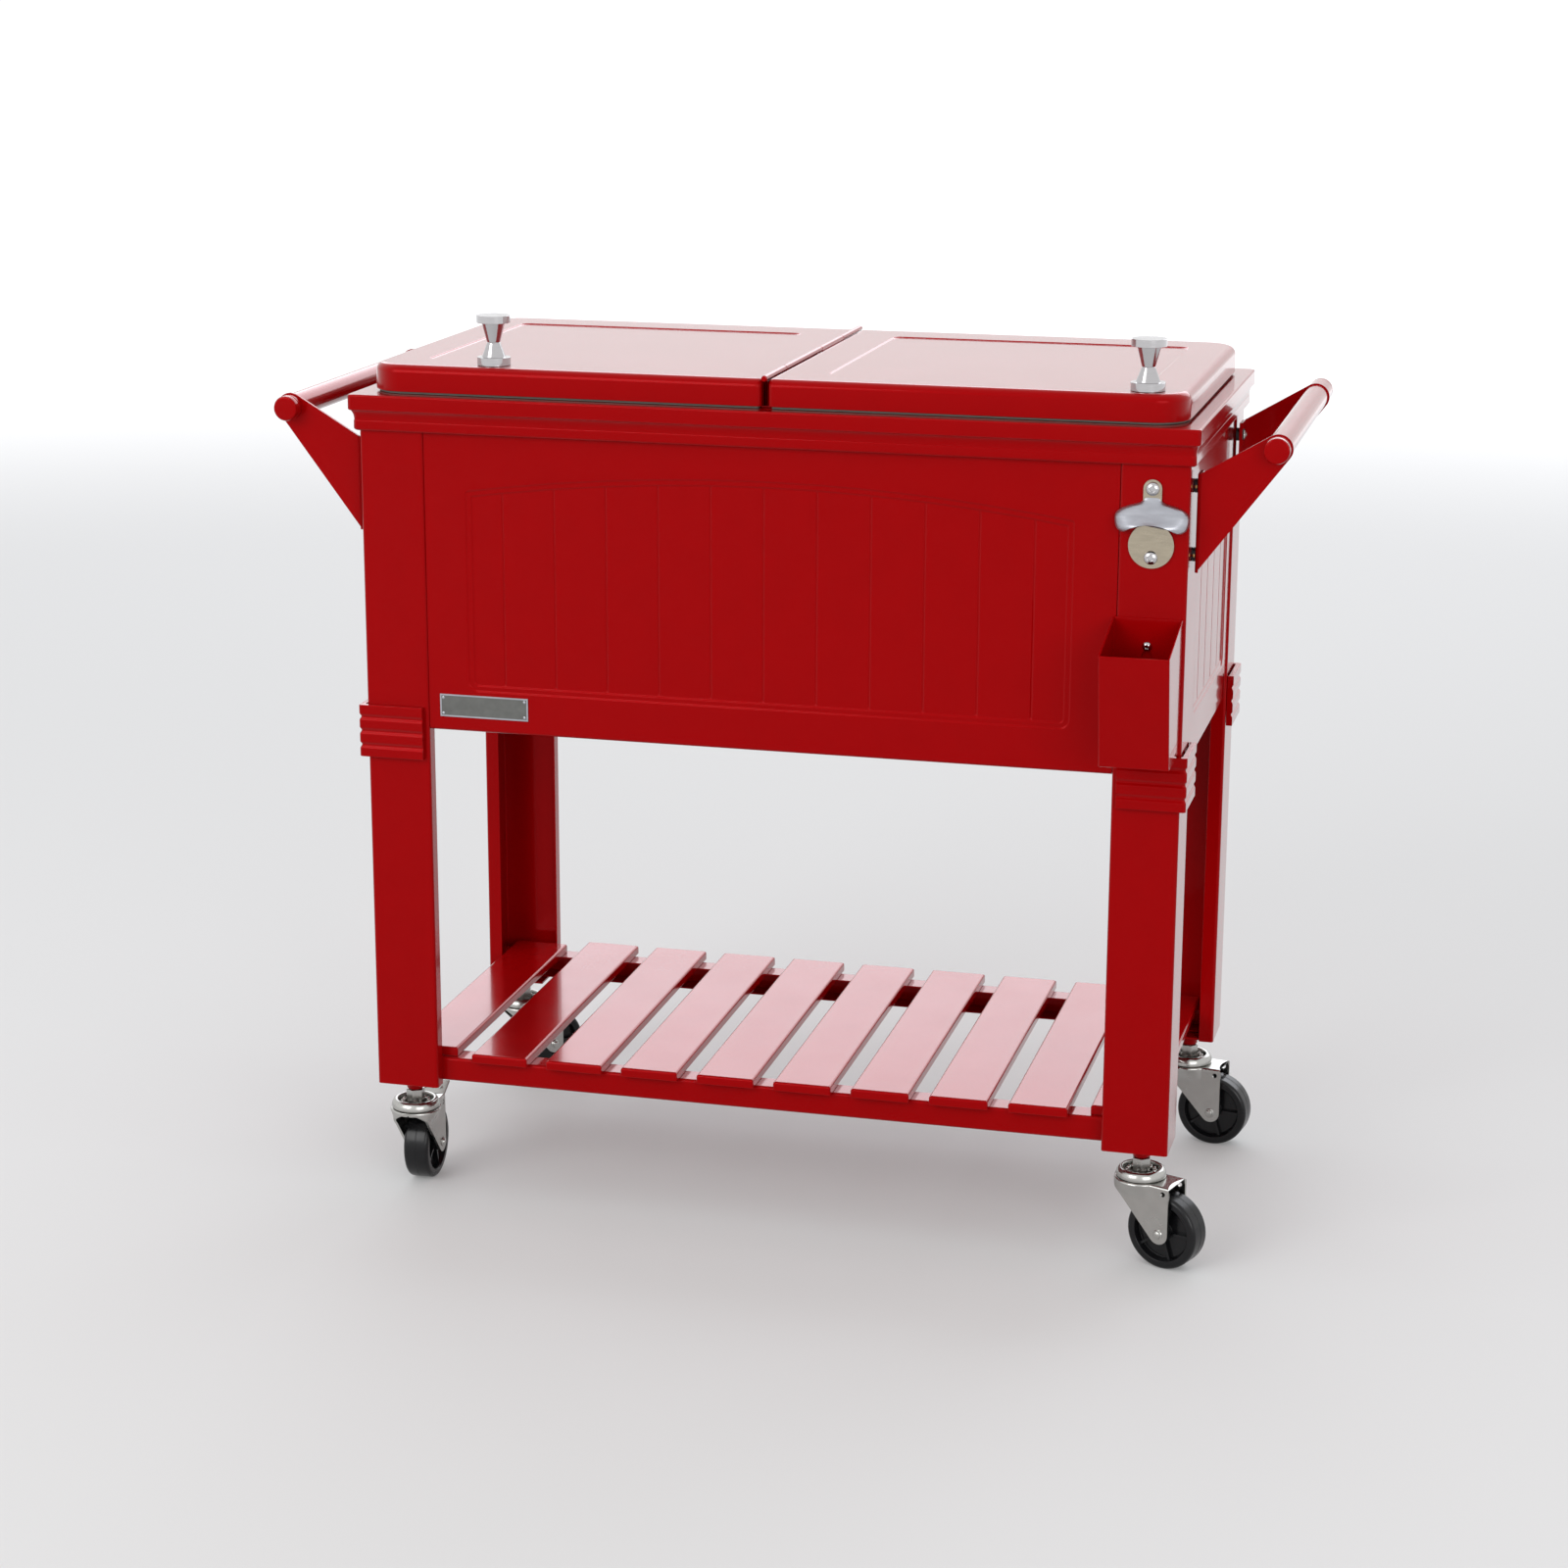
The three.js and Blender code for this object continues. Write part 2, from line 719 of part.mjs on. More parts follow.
function tubSolid() {
  const [innerX, innerY] = [tubHalfX - tubWall, tubHalfY - tubWall];
  const innerCorner = tubCorner - tubWall;
  const under = crownTop + gap;
  const curve = arc([-tubFloorRadius, tubFloorRadius], tubFloorRadius, -quarterTurn, 0, cornerSteps);
  const floorRings = curve.map(([out, up]) =>
    squareRing(innerX + out, innerY + out, innerCorner + out / 2, tubFloor + up),
  );
  const underRings = curve.map(([out, up]) =>
    squareRing(tubHalfX + out, tubHalfY + out, tubCorner + out / 2, tubFloor - tubWall + up),
  );
  const rings = [
    ...floorRings,
    squareRing(innerX, innerY, innerCorner, tubRimTop),
    squareRing(tubHalfX + tubRim, tubHalfY + tubRim, tubCorner + tubRim, tubRimTop),
    squareRing(tubHalfX + tubRim, tubHalfY + tubRim, tubCorner + tubRim, under),
    squareRing(tubHalfX, tubHalfY, tubCorner, under),
    ...underRings.reverse(),
  ];
  const notches = [-1, 1].map((side) => {
    const across = [side * (innerY - overrun), side * (tubHalfY + tubRim + overrun)].sort((a, b) => a - b);
    const notch = railHalfWidth + 2 * gap;
    return block([-notch, notch], across, [crownTop, tubRimTop + overrun]);
  });
  const [sumpStart, sumpEnd] = sumpRange();
  const sumpFloor = tubFloor - sumpDepth;
  const halfSump = sumpWidth / 2;
  const sump = block(
    [sumpStart - tubWall, sumpEnd + tubWall],
    [-halfSump - tubWall, halfSump + tubWall],
    [sumpFloor - tubWall, tubFloor - tubWall / 2],
  );
  const pocket = block([sumpStart, sumpEnd], [-halfSump, halfSump], [sumpFloor, tubFloor + overrun]);
  const spout = bar([0, spoutHeight], spoutDiameter / 2, "x", [spoutX, sumpStart - tubWall / 2]);
  const bore = bar([0, spoutHeight], spoutBore / 2, "x", [spoutX - overrun, sumpStart + overrun]);
  return cut(join(lofted(rings), sump, spout), ...notches, pocket, bore);
}

function insulationSolid() {
  const [x, y] = [halfWidth - insulationMargin, halfDepth - insulationMargin - sheet / 2];
  const bottom = panelBottom + 2 * (sheet + gap);
  const top = crownUnder - gap;
  const [inX, inY] = [tubHalfX + gap, tubHalfY + gap];
  const [sumpStart, sumpEnd] = sumpRange();
  const halfSump = sumpWidth / 2 + tubWall + gap;
  const under = tubFloor - tubWall - gap;
  return cut(
    block([-x, x], [-y, y], [bottom, top]),
    lofted([squareRing(inX, inY, tubCorner, under), squareRing(inX, inY, tubCorner, top + overrun)]),
    block(
      [sumpStart - tubWall - gap, sumpEnd + tubWall + gap],
      [-halfSump, halfSump],
      [tubFloor - sumpDepth - tubWall - gap, tubFloor],
    ),
    bar([0, spoutHeight], spoutDiameter / 2 + 2 * gap, "x", [-halfWidth, sumpStart]),
  );
}

function drainCap() {
  const mouth = -(halfWidth - panelSetBack) - gap;
  const seat = spoutX - gap;
  const end = seat - capEnd;
  const bore = spoutDiameter / 2 + gap;
  const profile = [
    [0, end],
    [capDiameter / 2 - overrun, end],
    [capDiameter / 2, end + overrun],
    [capDiameter / 2, mouth],
    [bore, mouth],
    [bore, seat],
    [0, seat],
  ];
  const thumbBar = block(
    [end - capBarHeight, end + capEnd / 2],
    [-capBarWidth / 2, capBarWidth / 2],
    [spoutHeight - capDiameter / 2 + overrun, spoutHeight + capDiameter / 2 - overrun],
  );
  return join(turned(profile, "x", [0, spoutHeight], capSides), thumbBar);
}

// Centre hinge: the rail across the opening with its web, fixed knuckles and pin, and the lids' leaves

function knuckle([from, to]) {
  const range = [from + gap / 2, to - gap / 2];
  return bar([0, hingeHeight], barrelRadius, "y", range, hingeSides);
}

function pinBore() {
  const range = [-barrelEnd - overrun, barrelEnd + overrun];
  return bar([0, hingeHeight], pinRadius + gap, "y", range, hingeSides);
}

function hingeRail() {
  const bottom = crownTop + gap;
  const top = bottom + sheet;
  const bearing = tubHalfY + railBearing;
  const between = tubHalfY - tubWall - gap;
  const flanges = [-railHalfWidth, railHalfWidth - sheet].map((x) =>
    block([x, x + sheet], [-between, between], [bottom - railFlangeDepth, top]),
  );
  const fixed = [[-barrelEnd, seams[0]], [seams[2], barrelEnd]];
  const risers = fixed.map(([from, to]) =>
    block(
      [-webHalfWidth, webHalfWidth],
      [Math.max(from + gap / 2, -bearing), Math.min(to - gap / 2, bearing)],
      [top - sheet / 2, hingeHeight],
    ),
  );
  const webTop = hingeHeight - barrelRadius - 2 * gap;
  return cut(
    join(
      block([-railHalfWidth, railHalfWidth], [-bearing, bearing], [bottom, top]),
      ...flanges,
      block([-webHalfWidth, webHalfWidth], [-bearing, bearing], [top - sheet / 2, webTop]),
      ...risers,
      ...fixed.map(knuckle),
    ),
    pinBore(),
  );
}

function hingePin() {
  const end = barrelEnd + gap;
  const profile = [
    [0, -end - pinHeadThickness],
    [pinHeadRadius, -end - pinHeadThickness],
    [pinHeadRadius, -end + 2 * gap],
    [pinRadius, -end + 2 * gap],
    [pinRadius, end - 2 * gap],
    [pinHeadRadius, end - 2 * gap],
    [pinHeadRadius, end + pinHeadThickness],
    [0, end + pinHeadThickness],
  ];
  return turned(profile, "y", [0, hingeHeight], hingeSides);
}

// A moving knuckle, drawn at the right, with its leaf down the lid's hinge side
function hingeLeaf([from, to]) {
  const outer = lidCentreGap - gap;
  const leaf = block(
    [outer - leafThickness, outer],
    [from + gap / 2, to - gap / 2],
    [hingeHeight - leafHeight, hingeHeight],
  );
  return cut(join(knuckle([from, to]), leaf), pinBore());
}

// Lids, drawn at the right

// A ring set in from the lid's outer wall, by a distance of its own at the hinge side
function lidRing(inset, z, hingeInset = inset) {
  const outer = Math.max(lidCorner - inset, overrun);
  const inner = Math.max(lidHingeCorner - hingeInset, overrun / 2);
  const across = [lidCentreGap + hingeInset, lidEndX - inset];
  return roundRing(across, [-lidHalfY + inset, lidHalfY - inset], [outer, outer, inner, inner], z);
}

// Rings round the top edge, a thickness of sheet below its outer face: the hinge side's edge is sharper
function edgeRings(thickness) {
  const round = arc([lidEdge, lidTop - lidEdge], lidEdge - thickness, quarterTurn, halfTurn, cornerSteps);
  return round.map(([inset, z]) => {
    const rise = Math.max(z - lidTop + lidHingeEdge, 0);
    const reach = Math.sqrt(Math.max((lidHingeEdge - thickness) ** 2 - rise ** 2, 0));
    return lidRing(inset, z, lidHingeEdge - reach);
  });
}

function recessRing(inset, z) {
  const across = [lidRecessHinge + inset, halfWidth - lidRecessEnd - inset];
  const deep = halfDepth - lidRecessSide - inset;
  const radius = lidRecessCorner;
  return roundRing(across, [-deep, deep], [radius, radius, radius, radius], z);
}

function lidShell(knob) {
  const under = lidTop - sheet;
  const rings = [
    recessRing(lidRecessSlope, lidTop - lidRecessDepth),
    recessRing(0, lidTop),
    ...edgeRings(0),
    lidRing(0, lidBottom),
    lidRing(sheet, lidBottom),
    ...edgeRings(sheet).reverse(),
    recessRing(-sheet / 2, under),
    recessRing(lidRecessSlope - sheet / 2, under - lidRecessDepth),
  ];
  const stud = bar(knob, knobStudDiameter / 2 + gap, "z", [lidTop - lidHeight / 2, lidTop + overrun]);
  return cut(lofted(rings), stud);
}

function lidLiner() {
  const inset = sheet + gap;
  const bottom = lidBottom + linerHeight;
  const plate = lofted([lidRing(inset, bottom), lidRing(inset, bottom + linerThickness)]);
  const gasketBottom = crownTop + gap;
  const [outer, inner] = [inset + gasketInset, inset + gasketInset + gasketWidth];
  const low = gasketBottom;
  const high = bottom + linerThickness / 2;
  const gasket = lofted(
    [lidRing(outer, low), lidRing(inner, low), lidRing(inner, high), lidRing(outer, high)],
    true,
  );
  const railClear = block(
    [-railHalfWidth, railHalfWidth + gap],
    [-halfDepth, halfDepth],
    [gasketBottom - overrun, tubRimTop + gap],
  );
  const across = [plugHingeInset, tubHalfX - plugMargin];
  const deep = [-tubHalfY + plugMargin, tubHalfY - plugMargin];
  const corners = [plugCorner, plugCorner, plugCorner, plugCorner];
  const plug = lofted([
    roundRing(across, deep, corners, bottom - plugDepth),
    roundRing(across, deep, corners, bottom + linerThickness / 2),
  ]);
  return join(cut(join(plate, gasket), railClear), plug);
}

// A turned knob whose stud passes through the lid, with a nut below
function knobSolid(centre) {
  const base = lidTop + gap;
  const nutTop = lidTop - sheet - gap;
  const nutBottom = nutTop - knobNutHeight;
  const top = lidTop + knobHeight;
  const profile = [
    [0, nutBottom],
    [knobNutDiameter / 2, nutBottom],
    [knobNutDiameter / 2, nutTop],
    [knobStudDiameter / 2, nutTop],
    [knobStudDiameter / 2, base],
    [knobBaseDiameter / 2, base],
    [knobBaseDiameter / 2, base + knobBaseThickness],
    [knobConeDiameter / 2, base + knobBaseThickness],
    [knobWaistDiameter / 2, lidTop + knobWaistHeight],
    [knobNeckDiameter / 2, lidTop + knobNeckHeight],
    [knobDiscDiameter / 2, lidTop + knobNeckHeight],
    [knobDiscDiameter / 2, top - knobEdge],
    [knobDiscDiameter / 2 - knobEdge, top],
    [0, top],
  ];
  return turned(profile, "z", centre, knobSides);
}

// Shelf

const railBottom = legBottom + footThickness + railFootGap;
const railTop = railBottom + railHeight;
const railFace = halfDepth - legLip - gap;

function shelfRail() {
  const path = [
    [-railFace + railDepth, railTop],
    [-railFace, railTop],
    [-railFace, railBottom],
    [-railFace + railDepth, railBottom],
  ];
  const end = halfWidth - sheet - gap;
  return prism(folded(path, sheet), "x", [-end, end]);
}

function slatSolid(number) {
  const pitch = (width - 2 * slatEndInset) / (slatCount - 1);
  const x = -halfWidth + slatEndInset + number * pitch;
  const atEnd = number === 0 || number === slatCount - 1;
  const half = halfDepth - (atEnd ? endSlatInset : slatOverhang);
  const [low, high] = [railTop + gap, railTop + gap + slatHeight];
  const [left, right] = [x - slatWidth / 2, x + slatWidth / 2];
  const path = [[right, low], [right, high], [left, high], [left, low]];
  return prism(folded(path, sheet, slatBend), "y", [-half, half]);
}

// Handles, drawn at the right

const rodCentre = [halfWidth + handleReach, crownTop - handleRodDrop];

// The plate's outline: the flange's edge, and the lines from its ends that touch the collar round the rod
function bracketOutline() {
  const inner = halfWidth + bracketStandOff;
  const top = [inner, crownTop - bracketTopDrop];
  const bottom = [inner, crownTop - bracketTopDrop - bracketHeight];
  const radius = handleRodDiameter / 2 + bracketCollar;
  const touch = ([x, z], side) => {
    const [dx, dz] = [rodCentre[0] - x, rodCentre[1] - z];
    const lean = Math.atan2(dz, dx) + side * Math.asin(radius / Math.hypot(dx, dz));
    return lean + side * quarterTurn;
  };
  return [bottom, ...arc(rodCentre, radius, touch(bottom, -1), touch(top, 1), bracketArcSteps), top];
}

function bracketSolid(front) {
  const inner = halfWidth + bracketStandOff;
  const top = crownTop - bracketTopDrop;
  const bottom = top - bracketHeight;
  const plate = prism(bracketOutline(), "y", [front, front + bracketThickness]);
  const flange = block([inner, inner + bracketThickness], [front, front + bracketDepth], [bottom, top]);
  const middle = front + (bracketThickness + bracketDepth) / 2;
  const screws = bracketScrewInsetShares.map((share) => {
    const centre = [middle, top - share * bracketHeight];
    const outer = inner + bracketThickness;
    return join(
      bar(centre, spacerDiameter / 2, "x", [halfWidth + gap, inner + bracketThickness / 2]),
      bar(centre, bracketScrewDiameter / 2, "x", [outer - bracketThickness / 2, outer + bracketScrewHead]),
    );
  });
  const hole = bar(
    rodCentre,
    handleRodDiameter / 2 + gap,
    "y",
    [front - overrun, front + bracketThickness + overrun],
    handleSides,
  );
  return cut(join(plate, flange, ...screws), hole);
}

function handleRod() {
  const radius = handleRodDiameter / 2;
  const [front, back] = [-halfDepth - handleRodFront, halfDepth + handleRodBack];
  const inside = radius - handleRodWall;
  const ringAt = (y) => [
    [radius, y - ringWidth / 2],
    [radius - ringDepth, y],
    [radius, y + ringWidth / 2],
  ];
  const profile = [
    [0, front],
    [radius - rodChamfer, front],
    [radius, front + rodChamfer],
    ...ringAt(front + ringInset),
    ...ringAt(back - ringInset),
    [radius, back - rodChamfer],
    [radius - rodChamfer, back],
    [handleVent / 2, back],
    [handleVent / 2, back - handleRodWall],
    [inside, back - handleRodWall],
    [inside, front + handleRodWall],
    [0, front + handleRodWall],
  ];
  return turned(profile, "y", rodCentre, handleSides);
}

// Bottle opener: a back plate, a flared hood over the mouth, and two domed screws

function domedHead([x, z], back, radius, height) {
  const profile = [
    [0, back - height],
    [radius / 2, back - height],
    [(radius * 7) / 8, back - height / 2],
    [radius, back],
    [0, back],
  ];
  return turned(profile, "y", [x, z], roundSides);
}

function bottleOpener() {
  const x = halfWidth - openerInset;
  const back = -halfDepth - gap;
  const face = back - openerPlate;
  const tab = crownTop - panelHeight * openerDropShare;
  const disc = tab - panelHeight * openerDiscShare;
  const hoodTop = tab - openerHoodDrop;
  const hoodBottom = hoodTop - openerHoodHeight;
  const tabRadius = openerTabDiameter / 2;
  const plates = join(
    bar([x, disc], openerDiscDiameter / 2, "y", [face, back]),
    bar([x, tab], tabRadius, "y", [face, back]),
    block([x - tabRadius, x + tabRadius], [face, back], [disc, tab]),
  );
  const rings = openerHoodShares.map((share) => {
    const half = tabRadius + (openerHoodHalfWidth - tabRadius) * Math.sin(quarterTurn * share);
    const reach = openerPlate + (openerHoodReach - openerPlate) * share;
    const level = hoodTop + (hoodBottom - hoodTop) * share;
    const bow = (inset) =>
      arc([0, 0], 1, 0, halfTurn, openerArcSteps).map(([across, out]) => [
        x + (half - inset) * across,
        back - (reach - inset) * out,
        level + openerHoodArch * share * out,
      ]);
    const inset = Math.min(openerHoodThickness, reach - overrun / 2);
    return [...bow(0), ...bow(inset).reverse()];
  });
  const toothTop = hoodBottom + openerHoodArch;
  const tooth = block(
    [x - openerToothWidth / 2, x + openerToothWidth / 2],
    [back - openerHoodReach + openerHoodThickness / 4, back - openerHoodReach + openerHoodThickness],
    [toothTop - openerToothDrop, toothTop + openerToothDrop],
  );
  const screws = [tab, disc - openerLowScrewDrop].map((z) =>
    domedHead([x, z], face + openerPlate / 2, openerScrewDiameter / 2, openerScrewHead + openerPlate / 2),
  );
  return join(plates, lofted(rings), tooth, ...screws);
}

// Cap catcher: an open box, its front leaning out, hung by a keyhole on one screw

function capCatcher() {
  const [left, right] = [catcherX - catcherWidth / 2, catcherX + catcherWidth / 2];
  const front = catcherBack - catcherDepth;
  const rim = catcherBack - catcherTopDepth;
  const rimHeight = catcherBottom + catcherFrontHeight;
  const top = catcherBottom + catcherBackHeight;
  const sides = [
    [catcherBack, catcherBottom],
    [catcherBack, top],
    [rim, rimHeight],
    [front, catcherBottom],
  ];
  const inside = [
    [catcherBack - sheet, catcherBottom + sheet],
    [catcherBack - sheet, top + overrun],
    [rim + sheet, top + overrun],
    [rim + sheet, rimHeight],
    [front + sheet, catcherBottom + sheet],
  ];
  const slot = catcherScrewShank / 2 + gap;
  const low = catcherScrewHeight - catcherLift;
  const wall = [catcherBack - sheet - overrun, catcherBack + overrun];
  return cut(
    prism(sides, "x", [left, right]),
    prism(inside, "x", [left + sheet, right - sheet]),
    bar([catcherX, catcherScrewHeight], slot, "y", wall, hingeSides),
    block([catcherX - slot, catcherX + slot], wall, [low, catcherScrewHeight]),
    bar([catcherX, low], keyholeDiameter / 2, "y", wall),
  );
}

function catcherScrew() {
  const seat = catcherBack - sheet - gap;
  const nut = -halfDepth + sheet / 2;
  const shank = catcherScrewShank / 2;
  const head = catcherScrewHead / 2;
  const profile = [
    [0, seat - catcherScrewHeadDepth],
    [head / 2, seat - catcherScrewHeadDepth],
    [head, seat - catcherScrewHeadDepth / 2],
    [head, seat],
    [shank, seat],
    [shank, nut],
    [catcherNutDiameter / 2, nut],
    [catcherNutDiameter / 2, nut + catcherNutDepth],
    [0, nut + catcherNutDepth],
  ];
  return turned(profile, "y", [catcherX, catcherScrewHeight], hingeSides);
}

// Casters, drawn about the swivel axis

const axleHeight = wheelRadius * Math.cos(halfTurn / wheelSides);
const forkTopUnder = forkTopHeight - forkPlate;
const brakePin = [brakePinTrail, forkTopUnder - brakePinDrop];

function casterStem() {
  const cupBottom = forkTopHeight + gap;
  const cupTop = cupBottom + racewayHeight;
  const headTop = forkTopUnder - gap;
  const hexTop = legBottom - footBossHeight - gap;
  const profile = [
    [0, headTop - kingpinHead],
    [kingpinHeadDiameter / 2, headTop - kingpinHead],
    [kingpinHeadDiameter / 2, headTop],
    [kingpinDiameter / 2, headTop],
    [kingpinDiameter / 2, cupBottom],
    [racewayDiameter / 2, cupBottom],
    [racewayDiameter / 2, cupBottom + racewayShoulder],
    [racewayTopDiameter / 2, cupTop],
    [0, cupTop],
  ];
  const hexRadius = hexAcross / 2 / Math.cos(halfTurn / 6);
  const hexagon = prism(circle([0, 0], hexRadius, 6), "z", [cupTop - overrun, hexTop]);
  const thread = bar([0, 0], stemDiameter / 2, "z", [hexTop - overrun, legBottom + footThickness]);
  return join(turned(profile, "z", [0, 0], roundSides), hexagon, thread);
}

function casterFork() {
  const half = forkWidth / 2;
  const disc = forkDiscDiameter / 2;
  const open = Math.atan2(half, Math.sqrt(disc ** 2 - half ** 2));
  const round = arc([0, 0], disc, open, 2 * halfTurn - open, 2 * forkArcSteps);
  const crown = prism([...round, [forkRear, -half], [forkRear, half]], "z", [forkTopUnder, forkTopHeight]);
  const axle = [trail, axleHeight];
  const brow = [-forkFront, forkTopUnder - forkFrontDrop];
  const [dx, dz] = [axle[0] - brow[0], axle[1] - brow[1]];
  const lean = Math.atan2(dz, dx) - Math.asin(forkEye / Math.hypot(dx, dz)) - quarterTurn;
  const eye = arc(axle, forkEye, lean, 0, forkArcSteps);
  const side = [...eye, [forkRear, forkTopHeight], [-forkFront, forkTopHeight], brow];
  const plates = [-half, half - forkPlate].map((y) => prism(side, "y", [y, y + forkPlate]));
  const heads = [-1, 1].map((sign) => {
    const ends = [sign * (half - forkPlate / 2), sign * (half + axleHead)].sort((a, b) => a - b);
    return bar(axle, axleHeadDiameter / 2, "y", ends, 6);
  });
  const axleEnd = half - forkPlate / 2;
  const axleBar = bar(axle, axleDiameter / 2, "y", [-axleEnd, axleEnd], hingeSides);
  const kingpinHole = bar(
    [0, 0],
    kingpinDiameter / 2 + gap,
    "z",
    [forkTopUnder - overrun, forkTopHeight + overrun],
  );
  const pinHole = brakePinDiameter / 2 + brakePinClearance;
  const brakeHole = bar(brakePin, pinHole, "y", [-half - overrun, half + overrun], hingeSides);
  return cut(join(crown, ...plates, ...heads, axleBar), kingpinHole, brakeHole);
}

function casterWheel() {
  const half = wheelWidth / 2;
  const web = wheelWebWidth / 2;
  const rim = wheelRadius - wheelRim;
  const hub = hubDiameter / 2;
  const hubEnd = forkWidth / 2 - forkPlate - gap;
  const bore = axleDiameter / 2 + axleClearance;
  const side = [
    [bore, hubEnd],
    [hub, hubEnd],
    [hub, web],
    [rim, web],
    [rim, half],
    [wheelRadius - wheelShoulder, half],
    [wheelRadius, half - wheelShoulder],
  ];
  const other = side.map(([radius, y]) => [radius, -y]).reverse();
  const profile = [...side, ...other, side[0]];
  return turned(profile, "y", [trail, axleHeight], wheelSides);
}

function brakePedal() {
  const half = brakeWidth / 2;
  const [x, z] = brakePin;
  const lever = [
    [x + brakeReach, z + brakeRise],
    [x + brakeKnee, z + brakeKneeRise],
    [x, z],
  ];
  const shoe = block(
    [x + brakeShoeTrail - brakeShoeThickness, x + brakeShoeTrail],
    [-half, half],
    [z - brakeShoeDrop, z + brakeKneeRise],
  );
  const pinEnd = forkWidth / 2 - gap;
  return join(
    bar(brakePin, brakeHubDiameter / 2, "y", [-half, half], hingeSides),
    bar(brakePin, brakePinDiameter / 2, "y", [-pinEnd, pinEnd], hingeSides),
    prism(folded(lever, brakeThickness, bend, bendSteps), "y", [-half, half]),
    shoe,
  );
}

// The assembly

const cooler = new THREE.Group();

function place(name, made, material, parent = cooler) {
  const geometry = geometryOf(made).toNonIndexed();
  geometry.computeVertexNormals();
  const mesh = new THREE.Mesh(geometry, material);
  mesh.name = name;
  parent.add(mesh);
}

const corners = {
  front_left: [-1, 1],
  front_right: [1, 1],
  back_left: [-1, -1],
  back_right: [1, -1],
};

function addLegs() {
  const leg = legSolid();
  const collar = collarSolid();
  for (const [corner, [signX, signY]] of Object.entries(corners)) {
    const own = corner === "front_right" ? join(leg, catcherScrew()) : mirrored(leg, signX, signY);
    place(`leg_${corner}`, own, finishes.redCoat);
    place(`collar_${corner}`, mirrored(collar, signX, signY), finishes.redCoat);
  }
}

function addBody() {
  place("front_panel", frontPanel(), finishes.redCoat);
  place("back_panel", turnedAbout(frontPanel(), 2), finishes.redCoat);
  place("left_panel", leftPanel(), finishes.redCoat);
  place("right_panel", turnedAbout(sidePanel(), 1), finishes.redCoat);
  place("floor_pan", floorPan(), finishes.redCoat);
  place("crown_frame", crownSolid(), finishes.redCoat);
  place("tub", tubSolid(), finishes.liner);
  place("insulation", insulationSolid(), finishes.foam);
  place("drain_cap", drainCap(), finishes.blackPlastic);
}

function addLids() {
  place("hinge_rail", join(hingeRail(), hingePin()), finishes.redCoat);
  const liner = lidLiner();
  const sides = [
    ["right", 1, rightKnobEndInset, [seams[1], seams[2]]],
    ["left", -1, leftKnobEndInset, [seams[0], seams[1]]],
  ];
  for (const [side, sign, knobEndInset, leafRange] of sides) {
    const knob = [lidEndX - knobEndInset, -lidHalfY + knobFrontInset];
    place(`${side}_lid_shell`, mirrored(lidShell(knob), sign, 1), finishes.redCoat);
    place(`${side}_lid_liner`, mirrored(liner, sign, 1), finishes.seal);
    place(`${side}_lid_knob`, mirrored(knobSolid(knob), sign, 1), finishes.steel);
    place(`${side}_hinge_leaf`, mirrored(hingeLeaf(leafRange), sign, 1), finishes.redCoat);
  }
}

function addShelf() {
  const rail = shelfRail();
  place("shelf_rail_front", rail, finishes.redCoat);
  place("shelf_rail_back", mirrored(rail, 1, -1), finishes.redCoat);
  for (let number = 0; number < slatCount; number++) {
    const label = String(number + 1).padStart(2, "0");
    place(`slat_${label}`, slatSolid(number), finishes.redCoat);
  }
}

function addHandles() {
  const rod = handleRod();
  const front = bracketSolid(-halfDepth + bracketFrontInset);
  const back = mirrored(bracketSolid(-halfDepth + bracketBackInset), 1, -1);
  for (const [side, sign] of [["left", -1], ["right", 1]]) {
    place(`${side}_handle_rod`, mirrored(rod, sign, 1), finishes.redCoat);
    place(`${side}_handle_bracket_front`, mirrored(front, sign, 1), finishes.redCoat);
    place(`${side}_handle_bracket_back`, mirrored(back, sign, 1), finishes.redCoat);
  }
}

function addFittings() {
  place("bottle_opener", bottleOpener(), finishes.nickel);
  place("cap_catcher", capCatcher(), finishes.redCoat);
}

function addCasters() {
  const [stem, fork, wheel, brake] = [casterStem(), casterFork(), casterWheel(), brakePedal()];
  for (const [corner, [signX, signY]] of Object.entries(corners)) {
    const caster = new THREE.Group();
    caster.position.set(signX * stemX, -signY * stemY, 0);
    caster.rotation.z = THREE.MathUtils.degToRad(casterHeadings[corner]);
    place(`caster_stem_${corner}`, stem, finishes.zinc, caster);
    place(`caster_fork_${corner}`, fork, finishes.zinc, caster);
    place(`caster_wheel_${corner}`, wheel, finishes.blackRubber, caster);
    if (brakedCasters.includes(corner)) place(`brake_pedal_${corner}`, brake, finishes.zinc, caster);
    cooler.add(caster);
  }
}

addLegs();
addBody();
addLids();
addShelf();
addHandles();
addFittings();
addCasters();

// The part's origin is the middle of its box, on the floor
const box = new THREE.Box3().setFromObject(cooler, true);
const middle = box.getCenter(new THREE.Vector3());
cooler.position.set(-middle.x, -middle.y, 0);
const part = new THREE.Group();
part.add(cooler);

export default part;
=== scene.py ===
"""A rolling patio cooler of glossy red sheet steel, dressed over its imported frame.

Shapes are drawn in millimetres about the middle of the body, from the floor up, with +X right and +Y back.
"""
import math

import bmesh
import bpy
from mathutils import Matrix, Vector


